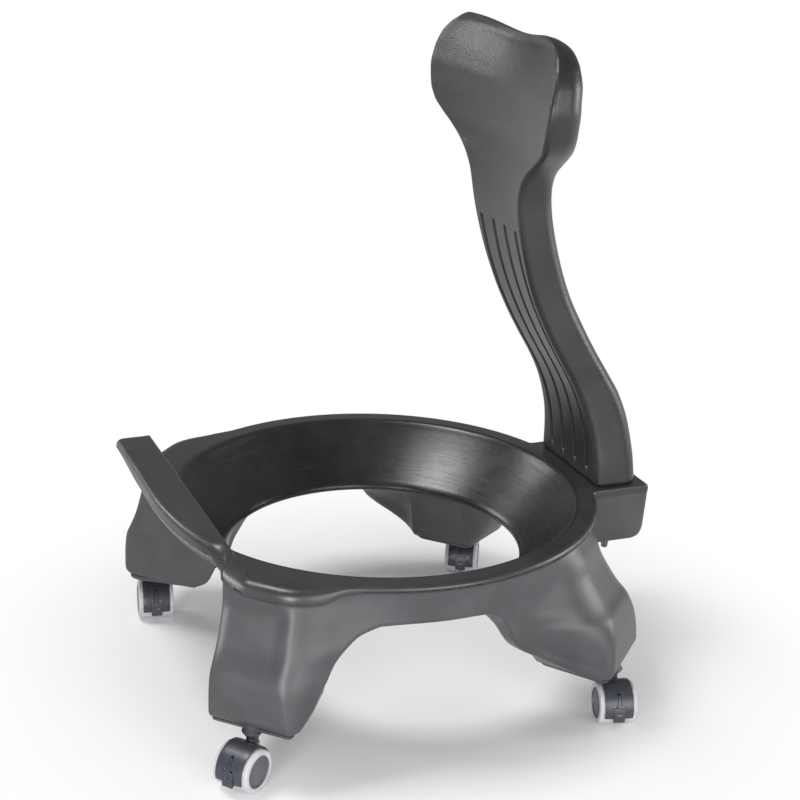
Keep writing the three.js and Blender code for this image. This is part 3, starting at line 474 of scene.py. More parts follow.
class Bearing:
    """What a section of the loft needs to know of its direction about the ring, for all directions."""

    def __init__(self, angle):
        self.x, self.y = np.cos(angle), np.sin(angle)
        off = np.arctan2(np.abs(self.y), np.abs(self.x)) - LEG_ANGLE
        self.off, self.to_end = np.abs(off), off > 0
        self.front = self.y < 0
        self.forward = -self.y > 0.5
        self.ahead, self.behind = np.maximum(-self.y, 0.1), np.maximum(self.y, 0.1)
        self.side = np.maximum(np.abs(self.x), 0.02)
        start, end = RING_RADIUS - BLOCK_INSIDE, RING_RADIUS + BLOCK_OUTSIDE
        self.block = ease(self.block_radius(BAND_HEIGHT), start, end)

    def block_radius(self, height):
        """The block's rear face, which leans in downwards, and its sides, joined by a rounded corner."""
        rear = BLOCK_REAR - BLOCK_DRAFT * (BAND_HEIGHT - height) / (BAND_HEIGHT - BLOCK_BOTTOM)
        radius = soft_min(rear / self.behind, BLOCK_HALF_WIDTH / self.side, BLOCK_CORNER)
        return np.where(self.y > 0.5, radius, 0)

    def wall(self, height):
        """How far ahead of the centre the flat wall behind the bar stands: it leans out evenly upwards."""
        return HOLE_RADIUS + WALL_SLOPE * (height - HOLE_HEIGHT)

    def bowl(self, height):
        """A cone, cut flat at the front by the wall that rises to the bar."""
        cone = HOLE_RADIUS + BOWL_RUN / BOWL_DEPTH * (height - HOLE_HEIGHT)
        cut = soft_min(cone, self.wall(height) / self.ahead, HOLE_EDGE)
        return np.where(self.forward, cut, cone)

    def outside(self, height):
        """The skirt or the front wall at a height, and the leg or block that grows out of it."""
        share = height / BAND_HEIGHT
        gap_side = self.front & self.to_end
        top = np.where(self.front, RING_RADIUS + PAD_OVERHANG, SKIRT_RADIUS)
        down = np.where(self.front, along(FRONT_REACH, share), along(REAR_REACH, share))
        reach = blend(top, FOOT_REACH, down)
        across = FOOT_REACH * np.tan(self.off)
        limit = PANEL_HALF_WIDTH + np.where(gap_side, LEG_CORNER, 0)
        inside = 1 - ease(across, limit - LEG_CORNER * 0.75, limit + LEG_CORNER * 0.75)
        reach = reach - PANEL_DEPTH * inside * along(PANEL, share) * self.front
        foot = np.where(gap_side, FOOT_GAP_HALF_WIDTH, FOOT_HALF_WIDTH)
        half_width = blend(PAD_HALF_WIDTH, foot, along(LEG_WIDTH, share))
        leg = leg_radius(self.off, reach, half_width, np.where(gap_side, 0, along(LEG_FLARE, share)))
        wall = soft_min(SKIRT_RADIUS, (self.wall(height) + FRONT_WALL) / self.ahead, LEG_CORNER)
        ring = np.where(gap_side & self.forward, wall, SKIRT_RADIUS)
        ring = soft_max(ring, leg, LEG_CORNER / 2)
        return soft_max(ring, self.block_radius(height), LEG_CORNER / 2)

    def below_bar(self, height, raised):
        """The outside, kept clear of the wall above the band, where the bar's tip is thin."""
        out = self.outside(height)
        beyond = np.maximum(out, (self.wall(height) + FRONT_WALL / 3) / self.ahead)
        return blend(out, beyond, raised * ease(height, BAND_HEIGHT - BAND_LIP, BAND_HEIGHT + BAND_LIP))

    def top(self, radius):
        """Height of the band, or of the bar, whose left end runs down into the leg along an eased curve."""
        ramp = ease(self.x * radius, BAR_HALF_LENGTH - BAR_RAMP / 2, BAR_END + BAR_RAMP / 2)
        drop = ease(-self.x * radius, BAR_END - BAR_DROP_BEFORE, BAR_END + BAR_DROP_PAST)
        ramp = np.where(self.x > 0, ramp, drop)
        bar = blend(BAR_TOP, BAND_HEIGHT, ramp)
        wall = HOLE_HEIGHT + (radius * self.ahead - HOLE_RADIUS) / WALL_SLOPE
        return np.where(self.forward, np.maximum(np.minimum(bar, wall), BAND_HEIGHT), BAND_HEIGHT)

    def outline(self):
        """Outline seen from above: the lip, the front legs' pads, the bowed bar and the block."""
        pad = leg_radius(self.off, RING_RADIUS + PAD_OVERHANG, PAD_HALF_WIDTH, np.where(self.to_end, 0, 1))
        radius = soft_max(RING_RADIUS, np.where(self.front, pad, 0), LEG_CORNER / 2)
        across = BAR_FRONT * np.abs(self.x) / self.ahead
        bow = np.where(self.x > 0, BAR_BOW_LEFT, BAR_BOW_RIGHT)
        bar = (BAR_FRONT - bow * (across / BAR_END) ** 2) / self.ahead
        corner = np.where(self.x > 0, BAR_THICKNESS, BAR_CORNER)
        bar = soft_min(bar, BAR_END / np.maximum(np.abs(self.x), 0.1), corner)
        radius = np.where(self.forward, soft_max(radius, bar, LEG_CORNER), radius)
        return soft_max(radius, self.block_radius(BAND_HEIGHT), LEG_CORNER / 2)

    def lower(self):
        """Height of the lower edge: the foot's bottom, the arch between the legs, or the block's bottom."""
        degrees = np.degrees(self.off)
        front = blend(FOOT_BOTTOM, HOLE_HEIGHT - HOLE_EDGE / 2, along(FRONT_ARCH, degrees))
        arch = BAND_HEIGHT - ARCH_DROP
        side = blend(FOOT_BOTTOM, arch, along(SIDE_ARCH, degrees))
        rear = blend(FOOT_BOTTOM, arch, along(REAR_SIDE_ARCH, degrees))
        low = np.where(self.front | self.to_end, side, rear)
        low = np.where(self.front & self.to_end, front, low)
        return blend(low, np.minimum(low, BLOCK_BOTTOM), self.block)


def crowding(degrees, amount, place, spread):
    """The bell curve amount exp(-((degrees - place) / spread)^2)."""
    return amount * np.exp(-((degrees - place) / spread) ** 2)


def ring_angles(count):
    """Directions about the ring, closer together where the side of a leg or of the block runs outwards."""
    even = np.linspace(0, 2 * np.pi, FINE_TURN + 1)
    off = np.degrees(np.abs(np.arctan2(np.abs(np.sin(even)), np.abs(np.cos(even))) - LEG_ANGLE))
    from_rear = np.degrees(np.abs(even - np.pi / 2))
    crowd = 1 + crowding(off, *LEG_CROWD) + crowding(from_rear, *BLOCK_CROWD)
    run = np.concatenate([[0], np.cumsum(crowd[1:])])
    return np.interp(np.linspace(0, run[-1], count, endpoint=False), run, even)


class Section:
    """Rows of (radius, height) for all directions at once, from the bowl's hole round to its underside."""

    def __init__(self, count):
        # tone holds painted light and shade: a factor on the colour of the rows being put
        self.count, self.tone = count, BOWL_PAINTED_LIGHT
        self.rows, self.marks, self.painted_lights = [], [], []

    def put(self, radius, height, mark=0):
        """Adds a row, with its share of the seam and the painted light factor of the stretch that it is in.
        """
        row = [np.broadcast_to(values, self.count) for values in (radius, height)]
        self.rows.append(np.stack(row, axis=-1).astype(float))
        self.marks.append(np.broadcast_to(mark, self.count).astype(float))
        self.painted_lights.append(np.full(self.count, self.tone))

    def bend(self, start, corner, end, steps):
        """A parabola from start to end: (1 - t)^2 start + 2 t (1 - t) corner + t^2 end."""
        for t in np.linspace(0, 1, steps + 1):
            radius, height = ((1 - t) ** 2 * a + 2 * t * (1 - t) * b + t * t * c
                              for a, b, c in zip(start, corner, end))
            self.put(radius, height)


def frame_moulding(angle_count=736):
    """The section's rows are worked out for every direction and carried round the ring's centre."""
    angle = ring_angles(angle_count)
    way = Bearing(angle)
    part = Section(angle_count)
    hole_under = HOLE_HEIGHT - HOLE_EDGE
    hole_rim = HOLE_RADIUS + HOLE_EDGE

    # Up the bowl
    start = HOLE_HEIGHT + HOLE_EDGE / 2
    part.bend((hole_rim, hole_under), (HOLE_RADIUS - 1, hole_under), (way.bowl(start), start), 5)
    for share in np.linspace(0.09, 0.93, 12):
        height = blend(HOLE_HEIGHT, BAND_HEIGHT, share)
        sag = 1 + BOWL_SAG / RING_RADIUS * np.sin(np.pi * share)
        part.put(way.bowl(height) * sag, height)

    # Over the band, and at the front up the wall to the bar's top
    outline = way.outline()
    raised = (way.top(outline) - BAND_HEIGHT) / BAR_RISE
    pad = ease(outline, RING_RADIUS + PAD_START, RING_RADIUS + PAD_END) * way.front * (1 - raised)
    bar_edge = blend(BAR_EDGE, PAD_ROLL, ease(outline * way.x, BAR_HALF_LENGTH / 2, BAR_HALF_LENGTH))
    edge = blend(blend(BAND_LIP, bar_edge, raised), PAD_ROLL, pad)
    edge = blend(edge, BLOCK_EDGE, way.block)
    crest = outline - edge
    bowl_top = way.bowl(BAND_HEIGHT)
    wall_foot = way.wall(BAND_HEIGHT) / way.ahead
    band_start = bowl_top + np.clip(wall_foot - bowl_top, BAND_EDGE / 4, BAND_EDGE)
    before = BAND_HEIGHT - BAND_EDGE
    part.bend((way.bowl(before), before), (bowl_top, BAND_HEIGHT), (band_start, BAND_HEIGHT), 4)
    # Painted light on the band: close to the plastic's own colour
    part.tone = BAND_PAINTED_LIGHT
    wall_start = np.clip(wall_foot, band_start + BAND_EDGE / 2, crest - 2 * BAND_LIP)
    wall_top = np.clip(BAR_REAR / way.ahead, wall_start + BAND_EDGE, crest - BAND_LIP)
    inside = way.top(wall_top)
    for share in (0.25, 0.5, 0.75):
        part.put(blend(band_start, wall_start, share), BAND_HEIGHT)
    foot_share = np.where(inside > BAND_HEIGHT + 1, 0.12, 0.3)
    near = blend(wall_start, wall_top, foot_share), blend(BAND_HEIGHT, inside, foot_share)
    part.bend((blend(band_start, wall_start, 0.9), BAND_HEIGHT), (wall_start, BAND_HEIGHT), near, 3)
    for share in (0.3, 0.5, 0.7):
        part.put(blend(wall_start, wall_top, share), blend(BAND_HEIGHT, inside, share))
    below_top = blend(wall_start, wall_top, 0.95), blend(BAND_HEIGHT, inside, 0.95)
    past_top = wall_top + BAR_REAR_EDGE
    part.bend(below_top, (wall_top, inside), (past_top, way.top(past_top)), 3)
    for share in np.linspace(0.1, 0.94, 9):
        radius = blend(past_top, crest, share)
        part.put(radius, way.top(radius))

    # Over the lip, down its face and in under it
    lip_height = way.top(outline)
    slim = ease(-outline * way.x, BAR_HALF_LENGTH / 3, BAR_END)
    bar_face = blend(BAR_THICKNESS, BAR_TIP, slim)
    thickness = blend(blend(1.5 * BAND_LIP, bar_face, raised), PAD_ROLL + 2, pad)
    under = lip_height - thickness
    top_of_skirt = under - BAND_LIP / 4
    skirt = way.below_bar(top_of_skirt, raised)
    outline = np.maximum(outline, skirt)
    part.bend((crest, way.top(crest)), (outline, lip_height), (outline, lip_height - edge), 8)
    seam = lip_height - blend(edge, np.maximum(edge, SEAM_PLACE * bar_face), raised)
    for down, out in ((-SEAM_REACH, 0), (-SEAM_HALF, 1), (SEAM_HALF, 1), (SEAM_REACH, 0)):
        height = seam - down * raised - SEAM_STEP * (down + SEAM_REACH)
        part.put(outline + out * SEAM_HALF * raised, height, out * raised)
    room = np.clip(outline - skirt, 0, 2 * BAND_LIP)
    face_end = outline - BAR_UNDERCUT * raised * np.clip(room / BAND_LIP, 0, 1)
    curl = np.minimum(room / 3, 2) * (1 - way.block) * (1 - 0.6 * slim)
    part.bend((face_end, under + 2 * curl + 0.2), (face_end, under + 0.1), (face_end - curl, under), 4)
    part.put(blend(face_end - curl, skirt, 0.85), under + 0.4 * curl)

    # Down the outside
    # Painted light: the outside, down round the lower edge to the underside, is lightened
    part.tone = SKIRT_PAINTED_LIGHT
    low = way.lower()
    rise = (low - FOOT_BOTTOM) / (BAND_HEIGHT - ARCH_DROP - FOOT_BOTTOM)
    arched = along([(0.02, 0), (0.25, 0.5), (0.5, 1)], rise)
    curl = blend(FOOT_CURL, FOOT_ROUND, arched)
    round_in = blend(curl, BLOCK_ROUND * 0.62, way.block)
    round_up = blend(curl, BLOCK_ROUND, way.block)
    sill_height = low + round_up
    for share in np.concatenate([[0, 0.012, 0.035], np.linspace(0.07, 0.965, 38), [1]]):
        height = blend(top_of_skirt, sill_height, share)
        part.put(way.below_bar(height, raised), height)

    # Round the lower edge and back under the moulding to the bowl's hole
    sill = way.outside(sill_height)
    part.bend((sill, sill_height - 0.1), (sill, low), (sill - round_in, low), 6)
    inner = blend((FOOT_REACH - FOOT_DEPTH) / np.cos(way.off), sill - SKIRT_WALL, arched)
    inner = blend(inner, BLOCK_FRONT / way.behind, way.block)
    heel = np.minimum(np.maximum(inner, hole_rim + HOLE_EDGE), sill - 2.5 * FOOT_ROUND)
    for share in (0.3, 0.65, 0.93):
        part.put(blend(sill - round_in, heel, share), low)
    for share in np.linspace(0.04, 0.95, 11):
        part.put(blend(heel, hole_rim, share), blend(low, hole_under, along(UNDERSIDE, share)))

    rows = np.stack(part.rows)
    x, y = rows[..., 0] * way.x, rows[..., 0] * way.y
    points = np.stack([x, y, rows[..., 1]], axis=-1)
    faces = grid_faces(len(rows), angle_count, wrap_rows=True)
    return (points.reshape(-1, 3), faces), {"seam": np.stack(part.marks), "tone": np.stack(part.painted_lights)}


# Back support: rounded slabs stacked along a leaning curve, with four grooves pressed into the front

def back_columns():
    """Places across the front face: fixed ones that crowd in the grooves, then shares out to the corner."""
    grooves = np.array(GROOVES) * GROOVE_SPACING
    across = np.linspace(-1.3, 1.3, 15) * GROOVE_HALF_WIDTH
    crowded = (grooves[:, None] + across[None, :]).ravel()
    plain = np.array([-39, -31.5, -24, -8, 0, 8, 24, 31.5, 39])
    return np.sort(np.concatenate([crowded, plain]))


def groove_share(x, height):
    """Share of the grooves' depth: an eased trough over the distance from a groove's middle line."""
    from_line = np.min(np.abs(x[..., None] - np.array(GROOVES) * GROOVE_SPACING), axis=-1)
    low, high = GROOVE_LOW + GROOVE_HALF_WIDTH, GROOVE_HIGH - GROOVE_HALF_WIDTH
    past_end = np.maximum(low - height, 0) + np.maximum(height - high, 0)
    distance = np.hypot(from_line, past_end * GROOVE_END) / GROOVE_HALF_WIDTH
    return 1 - ease(distance, *GROOVE_FLANK)


def back_moulding(chamfer, groove_depth, row_count=236):
    """Each row is a slab's outline at its height, and wraps forward by wrap (x / half)^2 towards the sides.

    The outline runs along the front, round two small corners, and back along the rear between two large
    ones. The foot's edge is a quarter circle, and the top dips by (1 - (x / lobe)^2)^2 between the lobes.
    """
    foot = BAND_HEIGHT + SEAT_GAP
    main = np.linspace(0.012, 0.9, row_count)
    crown = 1 - 0.1 * np.linspace(0.97, 0, 40) ** 1.6
    share = np.concatenate([np.linspace(0, 0.009, 6), main, crown])
    half, lean, thick, wrap = (along([(row[0], row[k]) for row in BACK], share) for k in (1, 2, 3, 4))
    lift = share * (BACK_HEIGHT - foot)
    inset = chamfer * (1 - np.sqrt(1 - (1 - np.clip(lift / (2 * chamfer), 0, 1)) ** 2))
    half = (HEAD_HALF_WIDTH * half - inset)[:, None]
    depth = (BACK_DEPTH * thick - 2 * inset)[:, None]
    face = (BACK_FRONT - BACK_REACH * lean + inset)[:, None]
    wrap = (HEAD_WRAP * wrap)[:, None]
    height = (foot + lift)[:, None]
    front = np.minimum(FRONT_CORNER, depth * 0.4)
    rear = np.minimum(REAR_CORNER, depth * 0.55)

    # The front, its corners and the first part of each flank
    fixed = back_columns()[None, :]
    limit = fixed[0, -1]
    right = limit + (half - front - limit) * np.linspace(0, 1, 15)[None, 1:]
    x_front = np.concatenate([-right[:, ::-1], fixed + 0 * half, right], axis=1)
    turn = np.radians(np.linspace(0, 90, 11))[None, 1:]
    y_flank = blend(front, depth - rear, np.array([[0.25, 0.5]]))
    x_corner = np.concatenate([half - front + front * np.sin(turn), half + 0 * y_flank], axis=1)
    y_corner = np.concatenate([front * (1 - np.cos(turn)), y_flank], axis=1)
    x_fore = np.concatenate([-x_corner[:, ::-1], x_front, x_corner], axis=1)
    y_fore = np.concatenate([y_corner[:, ::-1], 0 * x_front, y_corner], axis=1)

    # The rest of each flank, the rear corners and the rear, with as many columns as the front has
    turn = np.radians(np.linspace(0, 90, 17))[None, :]
    y_flank = blend(front, depth - rear, np.array([[0.7, 0.9]]))
    x_heel = np.concatenate([half + 0 * y_flank, half - rear + rear * np.cos(turn)], axis=1)
    y_heel = np.concatenate([y_flank, depth - rear + rear * np.sin(turn)], axis=1)
    columns = x_fore.shape[1]
    x_flat = (half - rear) * np.linspace(1, -1, columns - 2 * x_heel.shape[1] + 2)[None, 1:-1]
    x_rear = np.concatenate([x_heel, x_flat, -x_heel[:, ::-1]], axis=1)
    y_rear = np.concatenate([y_heel, depth + 0 * x_flat, y_heel[:, ::-1]], axis=1)

    x = np.concatenate([x_fore, x_rear], axis=1)
    pressed = groove_share(x, height + 0 * x)
    pressed[:, columns:] = 0
    y = np.concatenate([y_fore, y_rear], axis=1) + groove_depth * pressed
    across = np.clip(x / half, -1, 1)
    between_lobes = 1 - np.minimum(1, (x / LOBE_PLACE) ** 2)
    dip = HEAD_DIP * along(BACK_DIP, share)[:, None]
    points = np.stack([x, face + wrap * (1 - across ** 2) + y, height - dip * between_lobes ** 2], axis=-1)
    rows, count = x.shape
    ends = [ladder_faces(0, count)[:, ::-1], ladder_faces((rows - 1) * count, count)]
    return (points.reshape(-1, 3), np.concatenate([grid_faces(rows, count), *ends])), {"pressed": pressed}


# Leg caps

def leg_cap(name):
    """A plate under the foot, between two arcs and two rays, whose underside curls up towards its edges.

    At a distance d from the edge, with s = 1 - d / curl, it rises by round (1 - sqrt(1 - s^2)).
    """
    sx, sy, _ = CASTERS[name]
    middle = np.arctan2(sy * CASTER_SPACING_Y, sx * CASTER_SPACING_X)
    share = (1 - np.cos(np.linspace(0, np.pi, 45))) / 2
    off = np.radians(blend(-CAP_HALF_DEGREES, CAP_HALF_DEGREES, share))
    way = Bearing(middle + off)
    outer = way.outside(FOOT_BOTTOM + FOOT_CURL) - CAP_INSET
    inner = (FOOT_REACH - FOOT_DEPTH + CAP_INSET) / np.cos(off)
    radius = blend(inner[:, None], outer[:, None], share[None, :])
    from_ends = (np.radians(CAP_HALF_DEGREES) - np.abs(off))[:, None] * radius
    from_arcs = np.minimum(radius - inner[:, None], outer[:, None] - radius)
    edge = np.clip(1 - soft_min(from_ends, from_arcs, CAP_ROUND) / CAP_CURL, 0, 1)
    top = FOOT_BOTTOM - SEAT_GAP
    bottom = top - CAP_HEIGHT + CAP_ROUND * (1 - np.sqrt(1 - edge ** 2))
    x, y = radius * way.x[:, None], radius * way.y[:, None]
    return shell(np.stack([x, y, bottom], axis=-1), np.stack([x, y, top + 0 * x], axis=-1))


# Casters

def at_caster(name, solid):
    """A solid in a caster's own frame, turned about the stem to its heading and put under its leg."""
    sx, sy, heading = CASTERS[name]
    points, faces = solid
    turn = np.radians(heading)
    spin = np.array([[np.cos(turn), np.sin(turn), 0], [-np.sin(turn), np.cos(turn), 0], [0, 0, 1]])
    place = np.array([sx * CASTER_SPACING_X / 2, sy * CASTER_SPACING_Y / 2, 0])
    return points @ spin + place, faces


def about_axle(solid, side=1):
    """A turned solid laid on the axle, its own +Z pointing outwards on the given side."""
    points, faces = solid
    x, y, z = points.T
    return np.stack([CASTER_TRAIL + x, side * z, WHEEL_RADIUS + y], axis=-1), faces


def around(radius, degrees, y):
    """Points at a distance and an angle about the axle."""
    turn = np.radians(degrees)
    radius, turn, y = np.broadcast_arrays(radius, turn, y)
    return np.stack([CASTER_TRAIL + radius * np.cos(turn), y, WHEEL_RADIUS + radius * np.sin(turn)], axis=-1)


def tongue_half(degrees):
    """Half width of the lever's tongue, which narrows evenly from its foot to its tip."""
    return blend(TONGUE_FOOT, TONGUE_TIP, np.clip((degrees - LEVER_PIVOT) / (LEVER_TIP - LEVER_PIVOT), 0, 1))


def hood_cover(side):
    """Half of the cover: a shell about the axle whose inner edge draws back from the lever's slot."""
    slot_top = LEVER_PIVOT + SLOT_PAST_PIVOT
    stretches = ((HOOD_FRONT, slot_top, 8), (slot_top + STEP_DEGREES, WINDOW_TOP, 10),
                 (WINDOW_TOP + STEP_DEGREES, HOOD_REAR, 46))
    degrees = np.concatenate([np.linspace(*stretch) for stretch in stretches])[:, None]
    slot = np.where(degrees <= slot_top, LEVER_HALF_WIDTH + SEAT_GAP, tongue_half(degrees) + TONGUE_GAP)
    slot = np.where(degrees > WINDOW_TOP, 0, slot)
    y = blend(slot, HOOD_HALF_WIDTH, np.linspace(0, 1, 9)[None, :])
    dome = HOOD_DOME * (1 - ease(np.abs(y), HOOD_HALF_WIDTH - HOOD_SHOULDER, HOOD_HALF_WIDTH))
    outer = around(HOOD_RADIUS - HOOD_DOME + dome, degrees, side * y)
    inner = around(TREAD_SPACE, degrees, side * y)
    points, faces = shell(outer, inner)
    return points, faces if side < 0 else faces[:, ::-1]


def hood_web():
    """The web between the wheels, spread evenly from its boss to the cover, and the neck for the stem."""
    degrees = np.linspace(WEB_START, WEB_END, 40)[:, None]
    opposite = 180 + (degrees - (WEB_START + WEB_END) / 2) * 0.8
    rim = around(TREAD_SPACE + 0.8, degrees, 0)
    boss = around(WEB_BOSS_RADIUS, opposite, 0)
    plane = blend(boss, rim, np.linspace(0, 1, 12)[None, :, None])
    side = np.array([0, WEB_HALF, 0])
    web = shell(plane + side, plane - side)
    hub = [(0, -WEB_HALF), (WEB_BOSS_RADIUS, -WEB_HALF), (WEB_BOSS_RADIUS, WEB_HALF), (0, WEB_HALF)]
    top = WHEEL_RADIUS + HOOD_RADIUS
    neck = [(0, NECK_FOOT), (STEM_COLLAR + NECK_FLARE, NECK_FOOT), (STEM_COLLAR, NECK_FOOT + 2.5),
            (STEM_COLLAR, top), (0, top)]
    return merged([web, about_axle(lathe(rounded_path(hub, [0, 0.5, 0.5, 0]), 40)),
                   lathe(rounded_path(neck, [0, 1, 1.6, 0.8, 0]), 48)])


def brake_lever():
    """A shell about the axle: a tab that lifts out of the hood by lip down^1.6, and a tongue above it."""
    stretches = ((LEVER_END, LEVER_PIVOT, 14), (LEVER_PIVOT + STEP_DEGREES, LEVER_TIP, 10))
    degrees = np.concatenate([np.linspace(*stretch) for stretch in stretches])[:, None]
    half = np.where(degrees <= LEVER_PIVOT, LEVER_HALF_WIDTH, tongue_half(degrees))
    y = half * np.linspace(-1, 1, 13)[None, :]
    down = np.clip((LEVER_PIVOT - degrees) / (LEVER_PIVOT - LEVER_END), 0, 1)
    dent = LEVER_DENT * ease(DENT_HALF_WIDTH - np.abs(y), 0, 0.8)
    dent = dent * ease(DENT_HALF_DEGREES - np.abs(degrees - DENT_PLACE), 0, 1.5)
    outer = around(HOOD_RADIUS + LEVER_LIP * down ** 1.6 - dent, degrees, y)
    return shell(outer, around(TREAD_SPACE, degrees, y))


def wheel_tyre():
    """A ring with a rounded tread edge, turned about the axle."""
    inner, width = WHEEL_RADIUS - TYRE_THICKNESS, WHEEL_WIDTH
    corners = [(inner, 0), (WHEEL_RADIUS, 0), (WHEEL_RADIUS, width), (inner, width)]
    path = rounded_path(corners, [0.4, 1.6, 3.2, 0.8], 8)
    points, faces = lathe(np.concatenate([path, path[:1]]), 96)
    return points + np.array([0, 0, WHEEL_INNER]), faces


def wheel_hub():
    """A disc with a shallow dome, a groove round it and a raised rim, turned about the axle."""
    rim, face, back = WHEEL_RADIUS - TYRE_THICKNESS - SEAT_GAP, WHEEL_WIDTH - HUB_RECESS, SEAT_GAP
    corners = [(0, back), (rim, back), (rim, WHEEL_WIDTH), (rim - 1.5, WHEEL_WIDTH), (rim - 2.3, face - 0.5),
               (rim - 3.3, face), (rim / 2, face + HUB_DOME - 0.35), (0, face + HUB_DOME)]
    points, faces = lathe(rounded_path(corners, [0, 0.3, 0.5, 0.5, 0.5, 0.8, 5, 0], 6), 80)
    return points + np.array([0, 0, WHEEL_INNER]), faces


# Finishes

class Wire:
    """A shader value that is worked with as a number, each operator adding a Math node."""

    def __init__(self, finish, socket):
        self.finish, self.socket = finish, socket

    def maths(self, operation, *values):
        """One Math node, whose sockets take wires or plain numbers."""
        return self.finish.node("ShaderNodeMath", {"operation": operation}, dict(enumerate(values)))[0]

    def __add__(self, other):
        return self.maths("ADD", self, other)

    def __sub__(self, other):
        return self.maths("SUBTRACT", self, other)

    def __rsub__(self, other):
        return self.maths("SUBTRACT", other, self)

    def __mul__(self, other):
        return self.maths("MULTIPLY", self, other)

    def __pow__(self, other):
        return self.maths("POWER", self, other)

    def within(self, low, high):
        """0 below low, 1 above high, eased between."""
        settings = {"interpolation_type": "SMOOTHSTEP"}
        return self.finish.node("ShaderNodeMapRange", settings, {0: self, 1: low, 2: high})[0]

    __radd__, __rmul__ = __add__, __mul__


class Finish:
    """A node tree under construction, of a material or of the world."""

    def __init__(self, owner):
        owner.use_nodes = True
        self.owner, self.tree = owner, owner.node_tree
        self.tree.nodes.clear()

    def node(self, kind, settings=None, sockets=None):
        """Adds a node, sets its settings and then its sockets, and returns its outputs as wires."""
        made = self.tree.nodes.new(kind)
        for title, value in (settings or {}).items():
            setattr(made, title, value)
        for title, value in (sockets or {}).items():
            socket = made.inputs[title]
            if isinstance(value, Wire):
                self.tree.links.new(value.socket, socket)
            else:
                socket.default_value = value
        return [Wire(self, output) for output in made.outputs]

    def place(self):
        """The surface point in the object's own metres, as one vector."""
        return self.node("ShaderNodeTexCoord")[3]

    def seen(self):
        """1 for rays from the camera, off a gloss or through a clear piece, and 0 for the light itself."""
        light = self.node("ShaderNodeLightPath")
        either = light[0].maths("MAXIMUM", light[0], light[3])
        return either.maths("MAXIMUM", either, light[6])

    def split(self, vector):
        """The three numbers of a vector."""
        return self.node("ShaderNodeSeparateXYZ", None, {0: vector})

    def join(self, x, y, z):
        """A vector of three numbers."""
        return self.node("ShaderNodeCombineXYZ", None, {0: x, 1: y, 2: z})[0]

    def noise(self, vector, scale, detail=2.0, roughness=0.5):
        """Cloudy values about 0.5 that vary over 1 / scale of a metre."""
        sockets = {"Vector": vector, "Scale": scale, "Detail": detail, "Roughness": roughness}
        return self.node("ShaderNodeTexNoise", None, sockets)[0]

    def mark(self, title):
        """A value stored at the mesh's points."""
        return self.node("ShaderNodeAttribute", {"attribute_name": title})[2]

    def mix(self, share, first, second):
        """A colour between two."""
        settings = {"data_type": "RGBA"}
        return self.node("ShaderNodeMix", settings, {0: share, 6: first, 7: second})[2]

    def scaled(self, colour, share):
        """A colour times a number."""
        return self.node("ShaderNodeVectorMath", {"operation": "SCALE"}, {0: colour, 3: share})[0]

    def bump(self, height):
        """Relief from a height in metres."""
        return self.node("ShaderNodeBump", None, {"Height": height, "Distance": 1.0})[0]

    def surface(self, base, rough, height, **sockets):
        """Closes the tree with one principled shader."""
        sockets |= {"Base Color": base, "Roughness": rough, "Normal": self.bump(height)}
        shader = self.node("ShaderNodeBsdfPrincipled", None, sockets)[0]
        self.node("ShaderNodeOutputMaterial", None, {0: shader})
        return self.owner


def tone(colour, share):
    """A colour made lighter or darker: each channel times the share, and at most 1."""
    return (*(min(channel * share, 1) for channel in colour), 1)


def moulding_finish(name, look):
    """Blow-moulded plastic: sand grain, slow waves in the wall, rub marks round the polished bowl, and
    painted shade in the bowl with painted light down the outside.
    """
    finish = Finish(bpy.data.materials.new(name))
    place = finish.place()
    x, y, z = finish.split(place)
    from_centre = y - RING_SHIFT * MM
    radius = (x * x + from_centre * from_centre) ** 0.5
    turn = x.maths("ARCTAN2", from_centre, x)
    rubs = finish.noise(finish.join(radius * 260, turn * 3.2, z * 260), 1.0, 3.0, 0.6)
    fine_rubs = finish.noise(finish.join(radius * 900, turn * 5, z * 900), 1.0, 2.0)
    sand = finish.noise(place, 1500.0, 1.0)
    waves = finish.noise(place, 9.0, 2.0)
    cloud = finish.noise(place, 26.0, 3.0)
    colour = look.moulding
    base = finish.mix(cloud.within(0.3, 0.7), tone(colour, 0.88), tone(colour, 1.12))
    # Painted light and shade, stored in the mesh as tone: it scales the colour, darker in the bowl and
    # lighter outside
    shade = finish.mark("tone")
    polish = 1 - shade.within(BOWL_PAINTED_LIGHT, BAND_PAINTED_LIGHT) * 0.9
    base = finish.scaled(base, shade)
    scratch = fine_rubs.within(0.66, 0.72) * cloud.within(0.45, 0.6)
    base = finish.mix(scratch * polish * 0.3, base, tone(colour, 2))
    seam = finish.mark("seam") * finish.noise(place, 420.0, 2.0).within(0.4, 0.62)
    base = finish.mix(seam * 0.75, base, tone(colour, 8))
    rough = look.roughness + (shade - 0.8) * 0.12 + (cloud - 0.5) * 0.14 + (rubs - 0.5) * polish * 0.2
    height = sand * 0.00008 + waves * 0.0005 + rubs * polish * 0.00005
    return finish.surface(base, rough, height, IOR=1.49)


def back_finish(name, look):
    """The back's plastic: a dotted grain, with the grooves polished by the tool that formed them and painted
    shade in them.
    """
    finish = Finish(bpy.data.materials.new(name))
    place = finish.place()
    dots = finish.node("ShaderNodeTexVoronoi", {"feature": "F1"}, {"Vector": place, "Scale": 420.0})[0]
    waves = finish.noise(place, 8.0, 2.0)
    cloud = finish.noise(place, 30.0, 3.0)
    pressed = finish.mark("pressed")
    colour = look.moulding
    base = finish.mix(cloud.within(0.3, 0.7), tone(colour, 0.56), tone(colour, 0.7))
    # Painted shade: the grooves' colour is darkened
    base = finish.mix(pressed * 0.5, base, tone(colour, 0.4))
    rough = look.roughness + 0.05 + (cloud - 0.5) * 0.12 - pressed * 0.08
    height = dots * 0.00012 + waves * 0.0006
    return finish.surface(base, rough, height, IOR=1.42)


